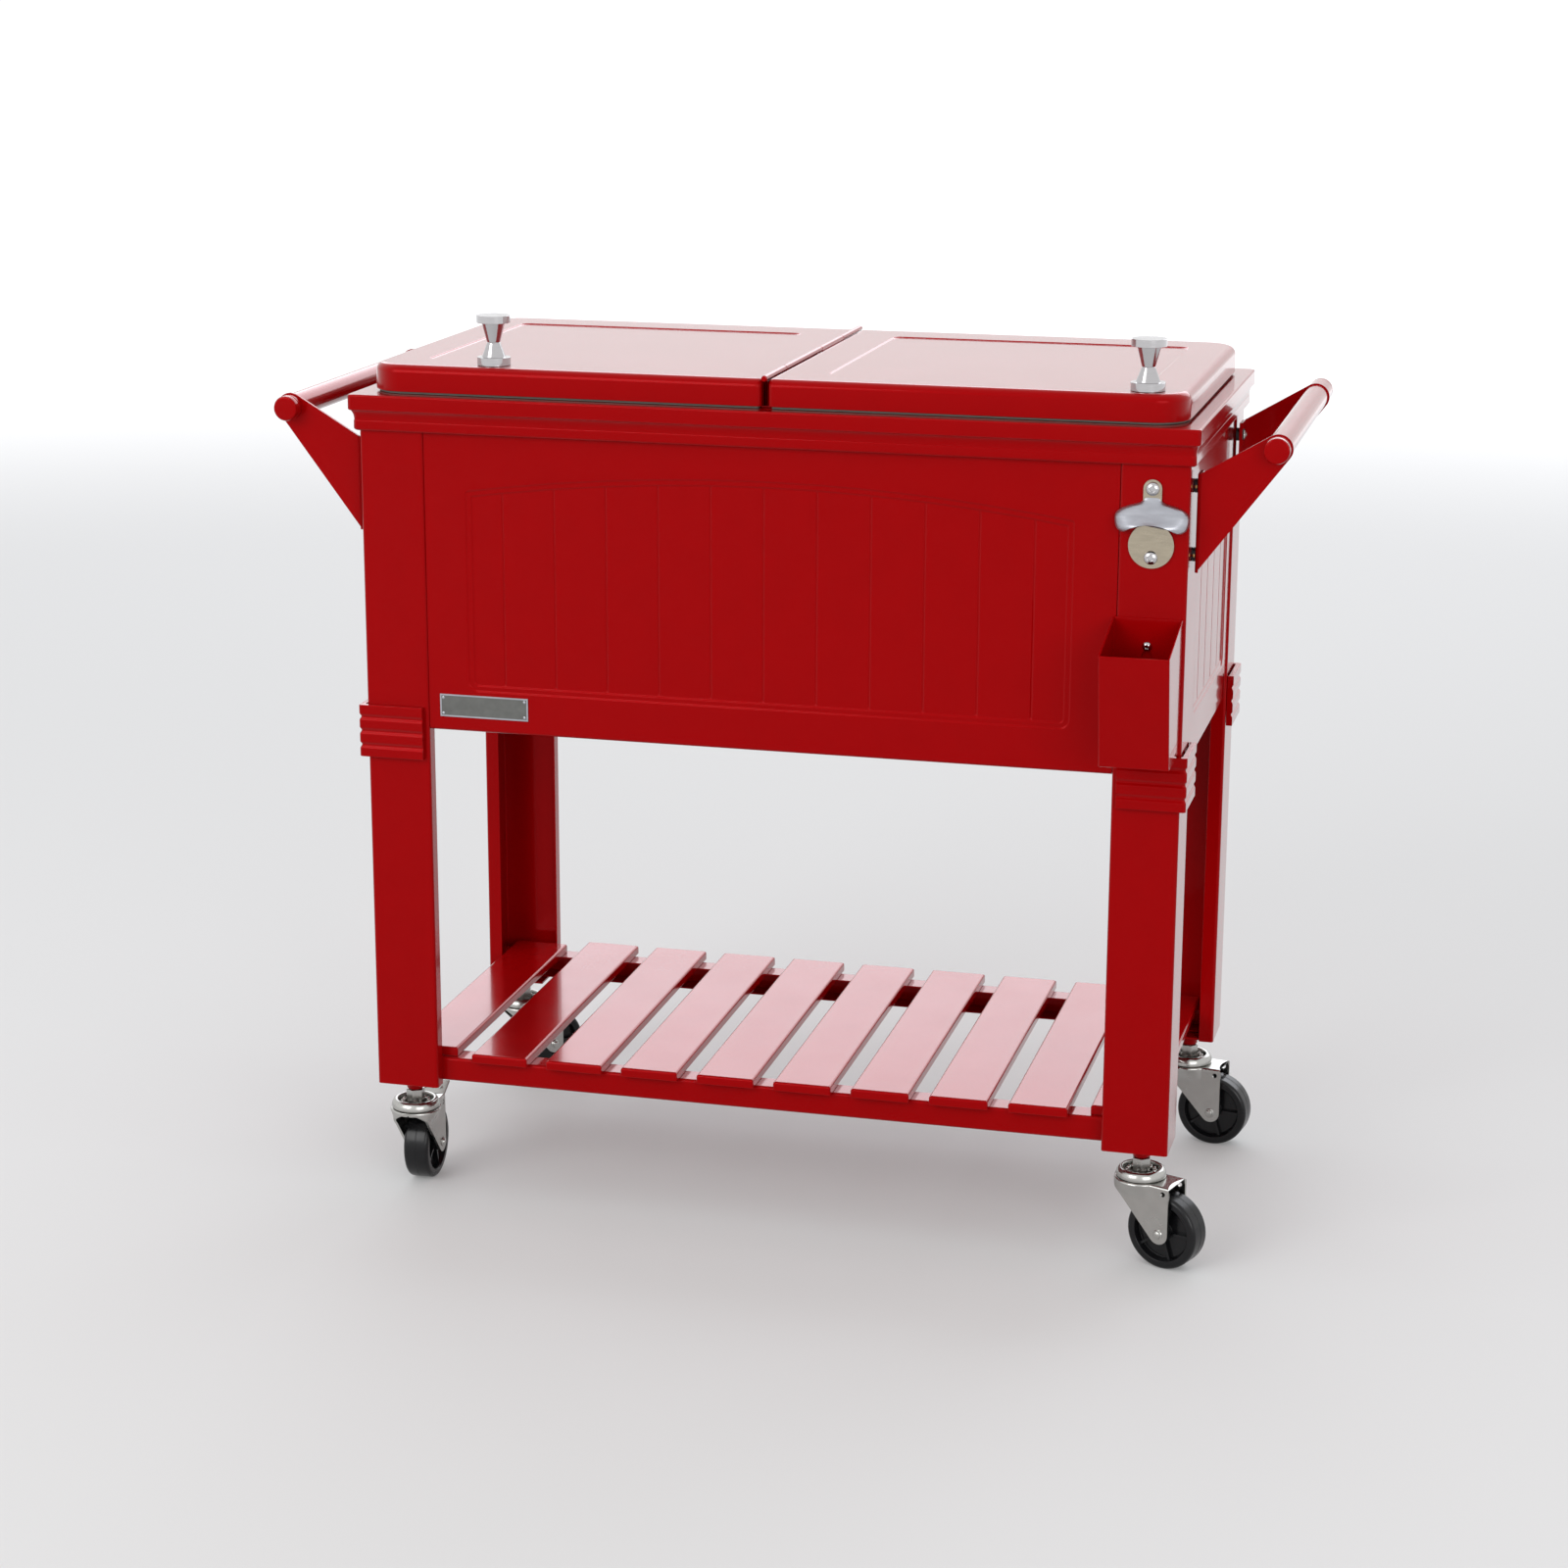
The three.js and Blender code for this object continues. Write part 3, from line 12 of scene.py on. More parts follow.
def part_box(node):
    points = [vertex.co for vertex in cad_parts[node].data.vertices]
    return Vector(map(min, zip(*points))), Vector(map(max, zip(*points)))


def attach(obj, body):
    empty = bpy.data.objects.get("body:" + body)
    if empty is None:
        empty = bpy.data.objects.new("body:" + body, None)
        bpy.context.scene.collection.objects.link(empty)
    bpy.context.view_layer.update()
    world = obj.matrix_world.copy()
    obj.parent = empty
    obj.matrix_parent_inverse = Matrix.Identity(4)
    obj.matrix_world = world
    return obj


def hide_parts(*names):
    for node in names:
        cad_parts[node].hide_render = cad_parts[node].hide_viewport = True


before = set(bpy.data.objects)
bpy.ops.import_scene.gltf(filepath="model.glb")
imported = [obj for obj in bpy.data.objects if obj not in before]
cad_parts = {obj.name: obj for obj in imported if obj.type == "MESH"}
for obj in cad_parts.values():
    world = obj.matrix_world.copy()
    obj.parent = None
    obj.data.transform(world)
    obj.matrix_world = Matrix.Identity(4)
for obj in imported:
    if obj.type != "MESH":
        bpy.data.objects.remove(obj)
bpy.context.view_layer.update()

MM = 0.001
CROWN_LOW, CROWN_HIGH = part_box("crown_frame")
MIDDLE = (CROWN_LOW + CROWN_HIGH) / 2
MIDDLE.z = 0

SHEET = 1.5
BEND = 3
BEND_STEPS = 6
GAP = 0.3
ROUND = 48
FINE_ROUND = 96
HALF_TURN = math.pi
QUARTER = math.pi / 2


def span(node):
    """A node's ranges along x, y and z, in millimetres about the middle of the body."""
    low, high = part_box(node)
    return [((low[i] - MIDDLE[i]) / MM, (high[i] - MIDDLE[i]) / MM) for i in range(3)]


def middles(node):
    return [sum(ends) / 2 for ends in span(node)]


# Places taken from the frame
(LEG_OUT_X, LEG_IN_X), (LEG_OUT_Y, LEG_IN_Y), (BOSS_BOTTOM, LEG_TOP) = span("leg_front_left")
HALF_X, HALF_Y = -LEG_OUT_X, -LEG_OUT_Y
LEG_IN_X, LEG_IN_Y = -LEG_IN_X, -LEG_IN_Y
LEG_BOTTOM = BOSS_BOTTOM + 13
CROWN_X, _, (CROWN_BOTTOM, CROWN_TOP) = span("crown_frame")
PANEL_X, PANEL_Y, (PANEL_BOTTOM, PANEL_TOP) = span("front_panel")
COLLAR_BOTTOM, COLLAR_TOP = span("collar_front_left")[2]
LID_X, LID_Y, (LID_BOTTOM, LID_TOP) = span("right_lid_shell")
CORNERS = {"front_left": (-1, 1), "front_right": (1, 1), "back_left": (-1, -1), "back_right": (1, -1)}


# Outlines and solids: a form is a list of points and a list of faces

def shares(steps):
    return [i / steps for i in range(steps + 1)]


def arc(centre, radius, start, end, steps):
    angles = [start + (end - start) * i / steps for i in range(steps + 1)]
    return [(centre[0] + radius * math.cos(a), centre[1] + radius * math.sin(a)) for a in angles]


def circle(centre, radius, sides=ROUND):
    return arc(centre, radius, 0, 2 * HALF_TURN, sides)[:-1]


def along(axis, u, v, w):
    """A point of an outline, with its length laid along x, y or z."""
    return {"x": (w, u, v), "y": (u, w, v), "z": (u, v, w)}[axis]


def loft(rings, endless=False):
    count = len(rings[0])
    points = [point for ring in rings for point in ring]
    faces = []
    for r in range(len(rings) if endless else len(rings) - 1):
        a = r * count
        b = ((r + 1) % len(rings)) * count
        for i in range(count):
            j = (i + 1) % count
            faces.append((a + i, a + j, b + j, b + i))
    if not endless:
        faces.append(tuple(reversed(range(count))))
        faces.append(tuple(range(len(points) - count, len(points))))
    return points, faces


def prism(outline, axis, ends):
    return loft([[along(axis, u, v, w) for u, v in outline] for w in ends])


def block(across, deep, levels):
    (x0, x1), (y0, y1) = across, deep
    return prism([(x0, y0), (x1, y0), (x1, y1), (x0, y1)], "z", levels)


def bar(centre, radius, axis, ends, sides=ROUND):
    return prism(circle(centre, radius, sides), axis, ends)


def turned(profile, axis, centre, sides=ROUND):
    """A profile of (radius, length) points turned about an axis through a point."""
    endless = profile[0] == profile[-1]
    rows = profile[:-1] if endless else profile
    rings = [[along(axis, u, v, w) for u, v in circle(centre, radius, sides)] for radius, w in rows]
    return loft(rings, endless)


def rounded(path, radius, steps):
    """A path with each inner corner rounded."""
    points = [path[0]]
    for before, corner, after in zip(path, path[1:], path[2:]):
        middle = Vector(corner)
        towards = (Vector(before) - middle).normalized()
        onwards = (Vector(after) - middle).normalized()
        half = math.acos(max(-1, min(1, towards.dot(onwards)))) / 2
        inwards = (towards + onwards).normalized()
        centre = middle + inwards * radius / math.sin(half)
        side = 1 if towards.x * onwards.y - towards.y * onwards.x > 0 else -1
        facing = math.atan2(inwards.y, inwards.x) + HALF_TURN
        swing = QUARTER - half
        points += arc(centre, radius, facing + side * swing, facing - side * swing, steps)
    return points + [path[-1]]


def folded(path, thickness=SHEET, radius=BEND, steps=BEND_STEPS):
    """The outline of sheet folded along a path, with its thickness on the path's left."""
    points = [Vector(point) for point in (rounded(path, radius, steps) if radius else path)]
    runs = [(b - a).normalized() for a, b in zip(points, points[1:])]
    lefts = [Vector((-run.y, run.x)) for run in runs]
    inner = []
    for i, point in enumerate(points):
        before = lefts[max(i - 1, 0)]
        after = lefts[min(i, len(lefts) - 1)]
        inner.append(point + (before + after) * thickness / (1 + before.dot(after)))
    return [tuple(point) for point in points + inner[::-1]]


def round_ring(across, deep, radii, z, steps=12):
    """A level rectangle, its corners' radii in order from right front, against the clock."""
    (x0, x1), (y0, y1) = across, deep
    corners = [(x1, y0, -1, 1), (x1, y1, -1, -1), (x0, y1, 1, -1), (x0, y0, 1, 1)]
    ring = []
    for i, ((x, y, to_x, to_y), radius) in enumerate(zip(corners, radii)):
        start = (i - 1) * QUARTER
        centre = (x + to_x * radius, y + to_y * radius)
        ring += [(u, v, z) for u, v in arc(centre, radius, start, start + QUARTER, steps)]
    return ring


def moved(form, matrix):
    points, faces = form
    return [tuple(matrix @ Vector(point)) for point in points], faces


def mirrored(form, sign_x, sign_y=1):
    return moved(form, Matrix.Diagonal((sign_x, sign_y, 1, 1)))


# Objects

WELD = 0.002
SHARP_ANGLE = math.radians(38)


def mesh_of(name, parts):
    """One mesh from pairs of a material and a form."""
    mesh = bpy.data.meshes.new(name)
    whole = bmesh.new()
    for material, (points, faces) in parts:
        if material.name not in mesh.materials:
            mesh.materials.append(material)
        part = bmesh.new()
        verts = [part.verts.new(point) for point in points]
        for face in faces:
            part.faces.new([verts[i] for i in face])
        bmesh.ops.remove_doubles(part, verts=part.verts, dist=WELD)
        bmesh.ops.recalc_face_normals(part, faces=part.faces)
        for face in part.faces:
            face.smooth = True
            face.material_index = mesh.materials.find(material.name)
        held = bpy.data.meshes.new("held")
        part.to_mesh(held)
        whole.from_mesh(held)
        bpy.data.meshes.remove(held)
        part.free()
    to_metres = Matrix.Translation(MIDDLE) @ Matrix.Scale(MM, 4)
    bmesh.ops.transform(whole, matrix=to_metres, verts=whole.verts)
    whole.to_mesh(mesh)
    whole.free()
    return mesh


def add_object(name, mesh):
    obj = bpy.data.objects.new(name, mesh)
    bpy.context.scene.collection.objects.link(obj)
    return obj


def soften(obj, edge, segments):
    """Rounds the edges over, or marks them sharp where no width is given."""
    if edge:
        bevel = obj.modifiers.new("edges", "BEVEL")
        bevel.width = edge * MM
        bevel.segments = segments
        bevel.limit_method = "ANGLE"
        bevel.angle_limit = SHARP_ANGLE
        bevel.harden_normals = True
    else:
        obj.data.set_sharp_from_angle(angle=SHARP_ANGLE)
    obj.modifiers.new("normals", "WEIGHTED_NORMAL").keep_sharp = True


def add_piece(name, parts, body, slot, stands_for=(), edge=0.4, segments=2, cuts=()):
    """A piece made of forms, with its holes cut and its edges rounded, riding on a body."""
    obj = add_object(name, mesh_of(name, parts))
    for cut in cuts:
        tool = add_object("tool", mesh_of("tool", [(parts[0][0], cut)]))
        hole = obj.modifiers.new("hole", "BOOLEAN")
        hole.object = tool
        hole.operation = "DIFFERENCE"
        hole.solver = "EXACT"
        cut_through = obj.evaluated_get(bpy.context.evaluated_depsgraph_get())
        obj.data = bpy.data.meshes.new_from_object(cut_through)
        obj.modifiers.clear()
        bpy.data.objects.remove(tool)
    soften(obj, edge, segments)
    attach(obj, body)
    if stands_for:
        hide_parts(*stands_for)
    return obj


def made_of(material, forms):
    return [(material, form) for form in forms]


def add_red(name, forms, node, body="root", **how):
    """A coated piece that stands for one node."""
    return add_piece(name, made_of(RED, forms), body, "red_coat", [node], **how)


def mirrored_parts(parts, sign):
    return [(material, mirrored(form, sign)) for material, form in parts]


# Materials

NOISE_BAND = (0.3, 0.7)
COLOUR_DETAIL = 3
GLOSS_DETAIL = 4
GLOSS_COARSER = 3
BUMP_DETAIL = 2


def set_up(tree, node, values=(), feeds=()):
    """Gives a shader node its plain values and the sockets that feed it."""
    for key, value in values:
        node.inputs[key].default_value = value
    for key, source in feeds:
        tree.links.new(source, node.inputs[key])
    return node


def add_node(tree, kind, values=(), feeds=(), **settings):
    node = tree.nodes.new(f"ShaderNode{kind}")
    for key, value in settings.items():
        setattr(node, key, value)
    return set_up(tree, node, values, feeds)


def add_material(name, colour, roughness, metallic, grain, bump=None, stretch=(1, 1, 1), **inputs):
    """A shader whose colour and roughness drift with noise, and whose surface has a fine bump.

    The grain is the noise's scale and the drift in colour and in roughness.
    The bump is its scale, strength and depth.
    """
    material = bpy.data.materials.new(name)
    material.use_nodes = True
    tree = material.node_tree
    shader = tree.nodes["Principled BSDF"]
    named = [(key.replace("_", " "), value) for key, value in inputs.items()]
    set_up(tree, shader, [("Metallic", metallic)] + named)
    place = add_node(tree, "TexCoord").outputs["Object"]
    stretched = add_node(tree, "Mapping", [("Scale", stretch)], [("Vector", place)]).outputs["Vector"]

    def noise(scale, detail):
        values = [("Scale", scale), ("Detail", detail)]
        return add_node(tree, "TexNoise", values, [("Vector", stretched)]).outputs["Fac"]

    def drift(socket, source, ends):
        ramp = add_node(tree, "ValToRGB", feeds=[("Fac", source)])
        for stop, position, value in zip(ramp.color_ramp.elements, NOISE_BAND, ends):
            stop.color = (*value, 1)
            stop.position = position
        tree.links.new(ramp.outputs["Color"], shader.inputs[socket])

    scale, shift, spread = grain
    colours = [[channel * (1 + sign * shift) for channel in colour] for sign in (-1, 1)]
    drift("Base Color", noise(scale, COLOUR_DETAIL), colours)
    greys = [[max(roughness + sign * spread, 0)] * 3 for sign in (-1, 1)]
    drift("Roughness", noise(scale / GLOSS_COARSER, GLOSS_DETAIL), greys)
    if bump:
        scale, strength, depth = bump
        values = [("Strength", strength), ("Distance", depth * MM)]
        relief = add_node(tree, "Bump", values, [("Height", noise(scale, BUMP_DETAIL))])
        tree.links.new(relief.outputs["Normal"], shader.inputs["Normal"])
        if inputs.get("Coat_Weight"):
            tree.links.new(relief.outputs["Normal"], shader.inputs["Coat Normal"])
    return material


RED = add_material(
    "red_coat_gloss", (0.31, 0.0008, 0.0015), 0.16, 0, (40, 0.02, 0.02), (450, 0.12, 0.1),
    Specular_Tint=(1, 0.02, 0.03, 1), IOR=1.48, Coat_Weight=1, Coat_IOR=1.11, Coat_Roughness=0.04,
)
ZINC = add_material("zinc_plate", (0.46, 0.455, 0.435), 0.24, 1, (90, 0.04, 0.05), (700, 0.05, 0.02))
# Nickel tinted blue: the blue is a painted sky reflection, not the metal's own colour.
NICKEL_PAINTED_SKY_REFLECTION = add_material(
    "brushed_nickel_painted_sky_reflection", (0.42, 0.43, 0.47), 0.34, 1, (60, 0.09, 0.06), (500, 0.05, 0.02), (1, 1, 4),
)
# The same nickel, warmer and a little darker, for the opener's disc and tab: the warm tint is a painted
# reflection.
NICKEL_PAINTED_WARM_REFLECTION = add_material(
    "nickel_painted_warm_reflection", (0.4, 0.35, 0.27), 0.3, 1, (90, 0.07, 0.06), (500, 0.05, 0.02), (1, 1, 4),
)
PEWTER = add_material("pewter_plate", (0.15, 0.152, 0.145), 0.42, 1, (120, 0.08, 0.05), (150, 0.3, 0.2))
STEEL = add_material(
    "polished_steel", (0.5, 0.49, 0.5), 0.13, 1, (120, 0.03, 0.03), (500, 0.05, 0.03), (1, 1, 12),
)
BRASS = add_material("brass_screw", (0.62, 0.44, 0.18), 0.3, 1, (300, 0.06, 0.05))
WHEEL = add_material(
    "black_wheel", (0.006, 0.006, 0.007), 0.24, 0, (120, 0.2, 0.06), (400, 0.06, 0.04), IOR=1.38,
)
DARK = add_material("dark_plastic", (0.02, 0.02, 0.022), 0.45, 0, (200, 0.1, 0.05), (600, 0.2, 0.06))
LINER = add_material("pale_liner", (0.74, 0.75, 0.73), 0.34, 0, (30, 0.015, 0.04), (350, 0.15, 0.1))
SEAL = add_material("grey_seal", (0.13, 0.15, 0.13), 0.6, 0, (140, 0.06, 0.05), (800, 0.3, 0.1))
FOAM = add_material("pale_foam", (0.72, 0.64, 0.45), 0.9, 0, (220, 0.08, 0.05), (500, 0.6, 0.5))


# Legs and collars

LEG_LIP = 15
FOOT_SHEET = 2.5
FOOT_INSET = 4
BOSS_RADIUS = 8.5
BOSS_CHAMFER = 1.5
STEM_X, STEM_Y, _ = middles("caster_stem_front_right")
PAN_BOTTOM = span("floor_pan")[2][0]
COLLAR_X, COLLAR_Y = span("collar_front_right")[:2]
COLLAR_PROUD = COLLAR_X[1] - HALF_X
COLLAR_VALLEYS = (0.22, 0.5, 0.77)
VALLEY_REACH = 0.07
VALLEY_DEPTH = 1.4
COLLAR_HOLLOW = 1.5
COLLAR_CORNER = 2.5
COLLAR_RIM = 0.4
COLLAR_EDGE = 0.3
COLLAR_WALL = 0.2
COLLAR_STEPS = 72


def leg_forms():
    path = [
        (LEG_IN_X, -HALF_Y + LEG_LIP), (LEG_IN_X, -HALF_Y), (HALF_X, -HALF_Y),
        (HALF_X, -LEG_IN_Y), (HALF_X - LEG_LIP, -LEG_IN_Y),
    ]
    across = (LEG_IN_X + FOOT_INSET, HALF_X - SHEET / 2)
    deep = (-HALF_Y + SHEET / 2, -LEG_IN_Y - FOOT_INSET)
    foot = block(across, deep, (LEG_BOTTOM, LEG_BOTTOM + FOOT_SHEET))
    narrow, wide = BOSS_RADIUS - BOSS_CHAMFER, BOSS_RADIUS + BOSS_CHAMFER
    buried = LEG_BOTTOM + FOOT_SHEET / 2
    profile = [
        (0, BOSS_BOTTOM), (narrow, BOSS_BOTTOM), (BOSS_RADIUS, BOSS_BOTTOM + BOSS_CHAMFER),
        (BOSS_RADIUS, LEG_BOTTOM - BOSS_CHAMFER), (wide, LEG_BOTTOM), (wide, buried), (0, buried),
    ]
    boss = turned(profile, "z", (STEM_X, STEM_Y))
    inset = SHEET + GAP
    across, deep = (LEG_IN_X + inset, HALF_X - inset), (-HALF_Y + inset, -LEG_IN_Y - inset)
    closing = block(across, deep, (PAN_BOTTOM - inset, PAN_BOTTOM - GAP))
    return [prism(folded(path), "z", (LEG_BOTTOM, LEG_TOP)), foot, boss, closing]


def collar_form():
    """Round the outer corner: a band with three soft valleys, closed against the leg at both ends."""
    profile = [(COLLAR_PROUD - COLLAR_RIM, COLLAR_BOTTOM)]
    for share in shares(COLLAR_STEPS):
        away = [min(abs(share - valley) / VALLEY_REACH, 1) for valley in COLLAR_VALLEYS]
        sunk = sum(math.cos(QUARTER * reach) ** 2 for reach in away)
        level = COLLAR_BOTTOM + COLLAR_EDGE + (COLLAR_TOP - COLLAR_BOTTOM - 2 * COLLAR_EDGE) * share
        profile.append((COLLAR_PROUD - VALLEY_DEPTH * sunk, level))
    profile.append((COLLAR_PROUD - COLLAR_RIM, COLLAR_TOP))

    def ring(x, y, out_x, out_y, inner=COLLAR_HOLLOW):
        closed = [(inner, COLLAR_BOTTOM)] + profile + [(inner, COLLAR_TOP)]
        return [(x + out_x * proud, y + out_y * proud, z) for proud, z in closed]

    start, end, lip = COLLAR_X[0], COLLAR_Y[1], SHEET + COLLAR_WALL
    corner = (HALF_X - COLLAR_CORNER, -HALF_Y + COLLAR_CORNER)
    rings = [ring(x, -HALF_Y, 0, -1, GAP) for x in (start, start + SHEET)]
    rings.append(ring(start + lip, -HALF_Y, 0, -1))
    rings += [ring(x, y, 1, -1) for x, y in arc(corner, COLLAR_CORNER, -QUARTER, 0, BEND_STEPS)]
    rings.append(ring(HALF_X, end - lip, 1, 0))
    rings += [ring(HALF_X, y, 1, 0, GAP) for y in (end - SHEET, end)]
    return loft(rings)


# Cap catcher's screw, which sits in the front right leg
CATCHER_X, CATCHER_Y, (CATCHER_BOTTOM, CATCHER_TOP) = span("cap_catcher")
CATCHER_MIDDLE = sum(CATCHER_X) / 2
CATCHER_DEPTH = 64
CATCHER_DROP = 20
CATCHER_SCREW = CATCHER_TOP - 26.5
CATCHER_HEAD = (4.5, 3)
CATCHER_SHANK = 2
CATCHER_LIFT = 9.5
DOME = 0.72
SOCKET = 0.42
SOCKET_EDGE = 0.3
SOCKET_DEPTH = 0.6


def pan_head(centre, axis, seat, radius, height, out):
    """A domed screw head with a socket, rising from its seat one way along the axis."""
    dome = arc((0, 0), 1, 0, QUARTER * DOME, 6)
    profile = [(0, seat)] + [(radius * c, seat + out * height * s) for c, s in dome]
    socket = radius * SOCKET
    top = seat + out * height * dome[-1][1]
    profile += [(socket + SOCKET_EDGE, top + out * 0.1), (socket, top - out * 0.2)]
    profile += [(across, top - out * height * SOCKET_DEPTH) for across in (socket, 0)]
    return turned(profile, axis, centre, 24)


def add_legs():
    legs, collar = leg_forms(), collar_form()
    for corner, (sign_x, sign_y) in CORNERS.items():
        parts = [(RED, mirrored(form, sign_x, sign_y)) for form in legs]
        if corner == "front_right":
            centre, seat = (CATCHER_MIDDLE, CATCHER_SCREW), CATCHER_Y[1] - SHEET - GAP
            head = pan_head(centre, "y", seat, *CATCHER_HEAD, -1)
            shank = bar(centre, CATCHER_SHANK, "y", (seat - 1, -HALF_Y + SHEET + 4), 24)
            parts += [(STEEL, head), (STEEL, shank)]
        add_piece(f"coated_leg_{corner}", parts, "root", "red_coat", [f"leg_{corner}"])
        node = f"collar_{corner}"
        add_red(f"ribbed_{node}", [mirrored(collar, sign_x, sign_y)], node, edge=0.3)


# Crown

CROWN_CORNER = 5
CROWN_EDGE = 2
CROWN_LEDGE = 33.7
FASCIA = 15
COVE = 10
BAND = 10
BAND_OUT = 5
BAND_EDGE = 2.5
SHELF_SLOPE = 0.2
COVE_NICK = 0.4
FASCIA_CHAMFER = (0.5, 0.6)
TUB_CORNER = 22


def crown_form():
    """A folded moulding round the top, as offsets out from the legs' outer faces."""
    out = CROWN_X[1] - HALF_X
    band_top = CROWN_BOTTOM + BAND
    band_low = arc((BAND_OUT - BAND_EDGE, CROWN_BOTTOM + BAND_EDGE), BAND_EDGE, -QUARTER, 0, 5)
    shelf = [(BAND_OUT, band_top - 1), (BAND_OUT - SHELF_SLOPE, band_top - SHELF_SLOPE)]
    hollow = out - BAND_OUT + COVE_NICK
    cove = [(out - hollow * c, band_top + COVE * s) for c, s in arc((0, 0), 1, 0, QUARTER, 12)]
    edge = arc((out - CROWN_EDGE, CROWN_TOP - CROWN_EDGE), CROWN_EDGE, 0, QUARTER, 5)
    inwards, upwards = FASCIA_CHAMFER
    lower = [(out - inwards, CROWN_TOP - FASCIA), (out, CROWN_TOP - FASCIA + upwards)]
    path = [(GAP, CROWN_BOTTOM)] + band_low + shelf + cove[:-1] + lower + edge
    rings = []
    for offset, z in folded(path + [(-CROWN_LEDGE, CROWN_TOP)], SHEET, 0):
        inner = TUB_CORNER if offset < 0 else BEND
        radius = CROWN_CORNER if offset > BAND_OUT / 2 else inner + GAP
        across = (-HALF_X - offset, HALF_X + offset)
        deep = (-HALF_Y - offset, HALF_Y + offset)
        rings.append(round_ring(across, deep, [radius] * 4, z, 8))
    return loft(rings, True)


# Panels, drawn as a front panel with its outer face before the middle

PANEL_RETURN = 15
FRAME_LOW = 40.2
FRAME_SHOULDER = 237
FRAME_CORNER = 10
ARCH_CORNER = 3
BORDER_INSET = 0.3
PANEL_DEPTH = 2.7
STEP = 0.85
STEP_WIDTH = 1.3
BAND_WIDTH = 5.5
GROOVE = 3
GROOVE_DEPTH = 0.8
GROOVE_WAVE = [(-0.5, 0), (-0.35, 0.25), (-0.12, 0.95), (0, 1), (0.12, 0.95), (0.35, 0.25), (0.5, 0)]
BACK_STEP = 5
DRAIN_HOLE = 9.6
FINE = [0.65 * i for i in range(-1, 20)]


def arch_height(x, half, rise):
    radius = (half ** 2 + rise ** 2) / (2 * rise)
    return rise - radius + math.sqrt(max(radius ** 2 - x ** 2, 0))


def eased(share):
    share = min(max(share, 0), 1)
    return share * share * (3 - 2 * share)


def panel_depth(x, z, low, top, half_frame, wave):
    """How deep the sheet lies: two small steps round the arch-top frame, and the grooves inside them."""
    across, up, down = half_frame - abs(x), z - low, top - z
    edge, corner = (up, FRAME_CORNER) if up < down else (down, ARCH_CORNER)
    if across < corner and edge < corner:
        inside = corner - math.hypot(corner - across, corner - edge)
    else:
        inside = min(across, edge)
    steps = eased(inside / STEP_WIDTH) + eased((inside - BAND_WIDTH) / STEP_WIDTH)
    return STEP * steps + GROOVE_DEPTH * wave * eased((inside - BAND_WIDTH - STEP_WIDTH) / 2)


def skin_form(face, half_length, half_frame, rise, grooves, inset):
    """The panel's sheet: grooved boards two small steps below the border, and a return folded under."""
    low = PANEL_BOTTOM + FRAME_LOW
    reach = half_frame - inset
    columns = [(-half_length, 0), (half_length, 0)]
    columns += [(side * (half_frame - near), 0) for near in FINE for side in (-1, 1)]
    for i in range(grooves):
        middle = -reach + 2 * reach * i / (grooves - 1)
        columns += [(middle + GROOVE * share, deep) for share, deep in GROOVE_WAVE]
    under = arc((face + BEND, PANEL_BOTTOM + BEND), BEND, -QUARTER, -HALF_TURN, 5)
    inside = arc((face + BEND, PANEL_BOTTOM + BEND), BEND - SHEET, -HALF_TURN, -QUARTER, 5)
    step = low - BACK_STEP
    back = [(face + PANEL_DEPTH, PANEL_TOP), (face + PANEL_DEPTH, step), (face + SHEET, step - 1)]
    back += inside + [(face + PANEL_RETURN, PANEL_BOTTOM + SHEET)]
    rings = []
    for x, deep in sorted(columns):
        top = PANEL_BOTTOM + FRAME_SHOULDER + arch_height(min(abs(x), half_frame), half_frame, rise)
        levels = [low + near for near in FINE] + [top - near for near in reversed(FINE)]
        outer = [(face + PANEL_RETURN, PANEL_BOTTOM)] + under
        outer += [(face + panel_depth(x, z, low, top, half_frame, deep), z) for z in levels]
        outer.append((face, PANEL_TOP))
        rings.append([(x, y, z) for y, z in outer + back])
    return loft(rings)


LONG_PANEL = {"half_frame": 295, "rise": 23, "grooves": 11, "inset": 37}
SIDE_PANEL = {"half_frame": 111.7, "rise": 8, "grooves": 4, "inset": 40}


def add_panels():
    side_x, side_y, _ = span("right_panel")
    kinds = [(PANEL_Y[0], PANEL_X[1], LONG_PANEL), (-side_x[1], side_y[1], SIDE_PANEL)]
    drain = bar(middles("drain_cap")[1:], DRAIN_HOLE, "x", (-HALF_X, -HALF_X + PANEL_RETURN + 3))
    for quarters, side in enumerate(("front", "right", "back", "left")):
        face, half_length, sizes = kinds[quarters % 2]
        skin = skin_form(face + BORDER_INSET, half_length, **sizes)
        turn = Matrix.Rotation(quarters * QUARTER, 4, "Z")
        cuts = [drain] if side == "left" else []
        add_red(f"pressed_{side}_panel", [moved(skin, turn)], f"{side}_panel", edge=0, cuts=cuts)


# Lids, drawn at the right

LID_CORNER = 34
LID_HINGE_CORNER = 5
LID_EDGE = 8
LID_HINGE_EDGE = 3
RECESS_HINGE = 48
RECESS_END = 50
RECESS_SIDE = 55
RECESS_DEPTH = 1.1
RECESS_CORNER = 8
RECESS_SLOPE = 2
RECESS_STEPS = 8
LID_STEPS = 16


def lid_ring(inset, z, hinge_inset=None):
    """A ring set in from the lid's outer wall, by a distance of its own at the hinge side."""
    hinge_inset = inset if hinge_inset is None else hinge_inset
    outer = max(LID_CORNER - inset, 1)
    inner = max(LID_HINGE_CORNER - hinge_inset, 0.5)
    across = (LID_X[0] + hinge_inset, LID_X[1] - inset)
    deep = (LID_Y[0] + inset, LID_Y[1] - inset)
    return round_ring(across, deep, [outer, outer, inner, inner], z, LID_STEPS)


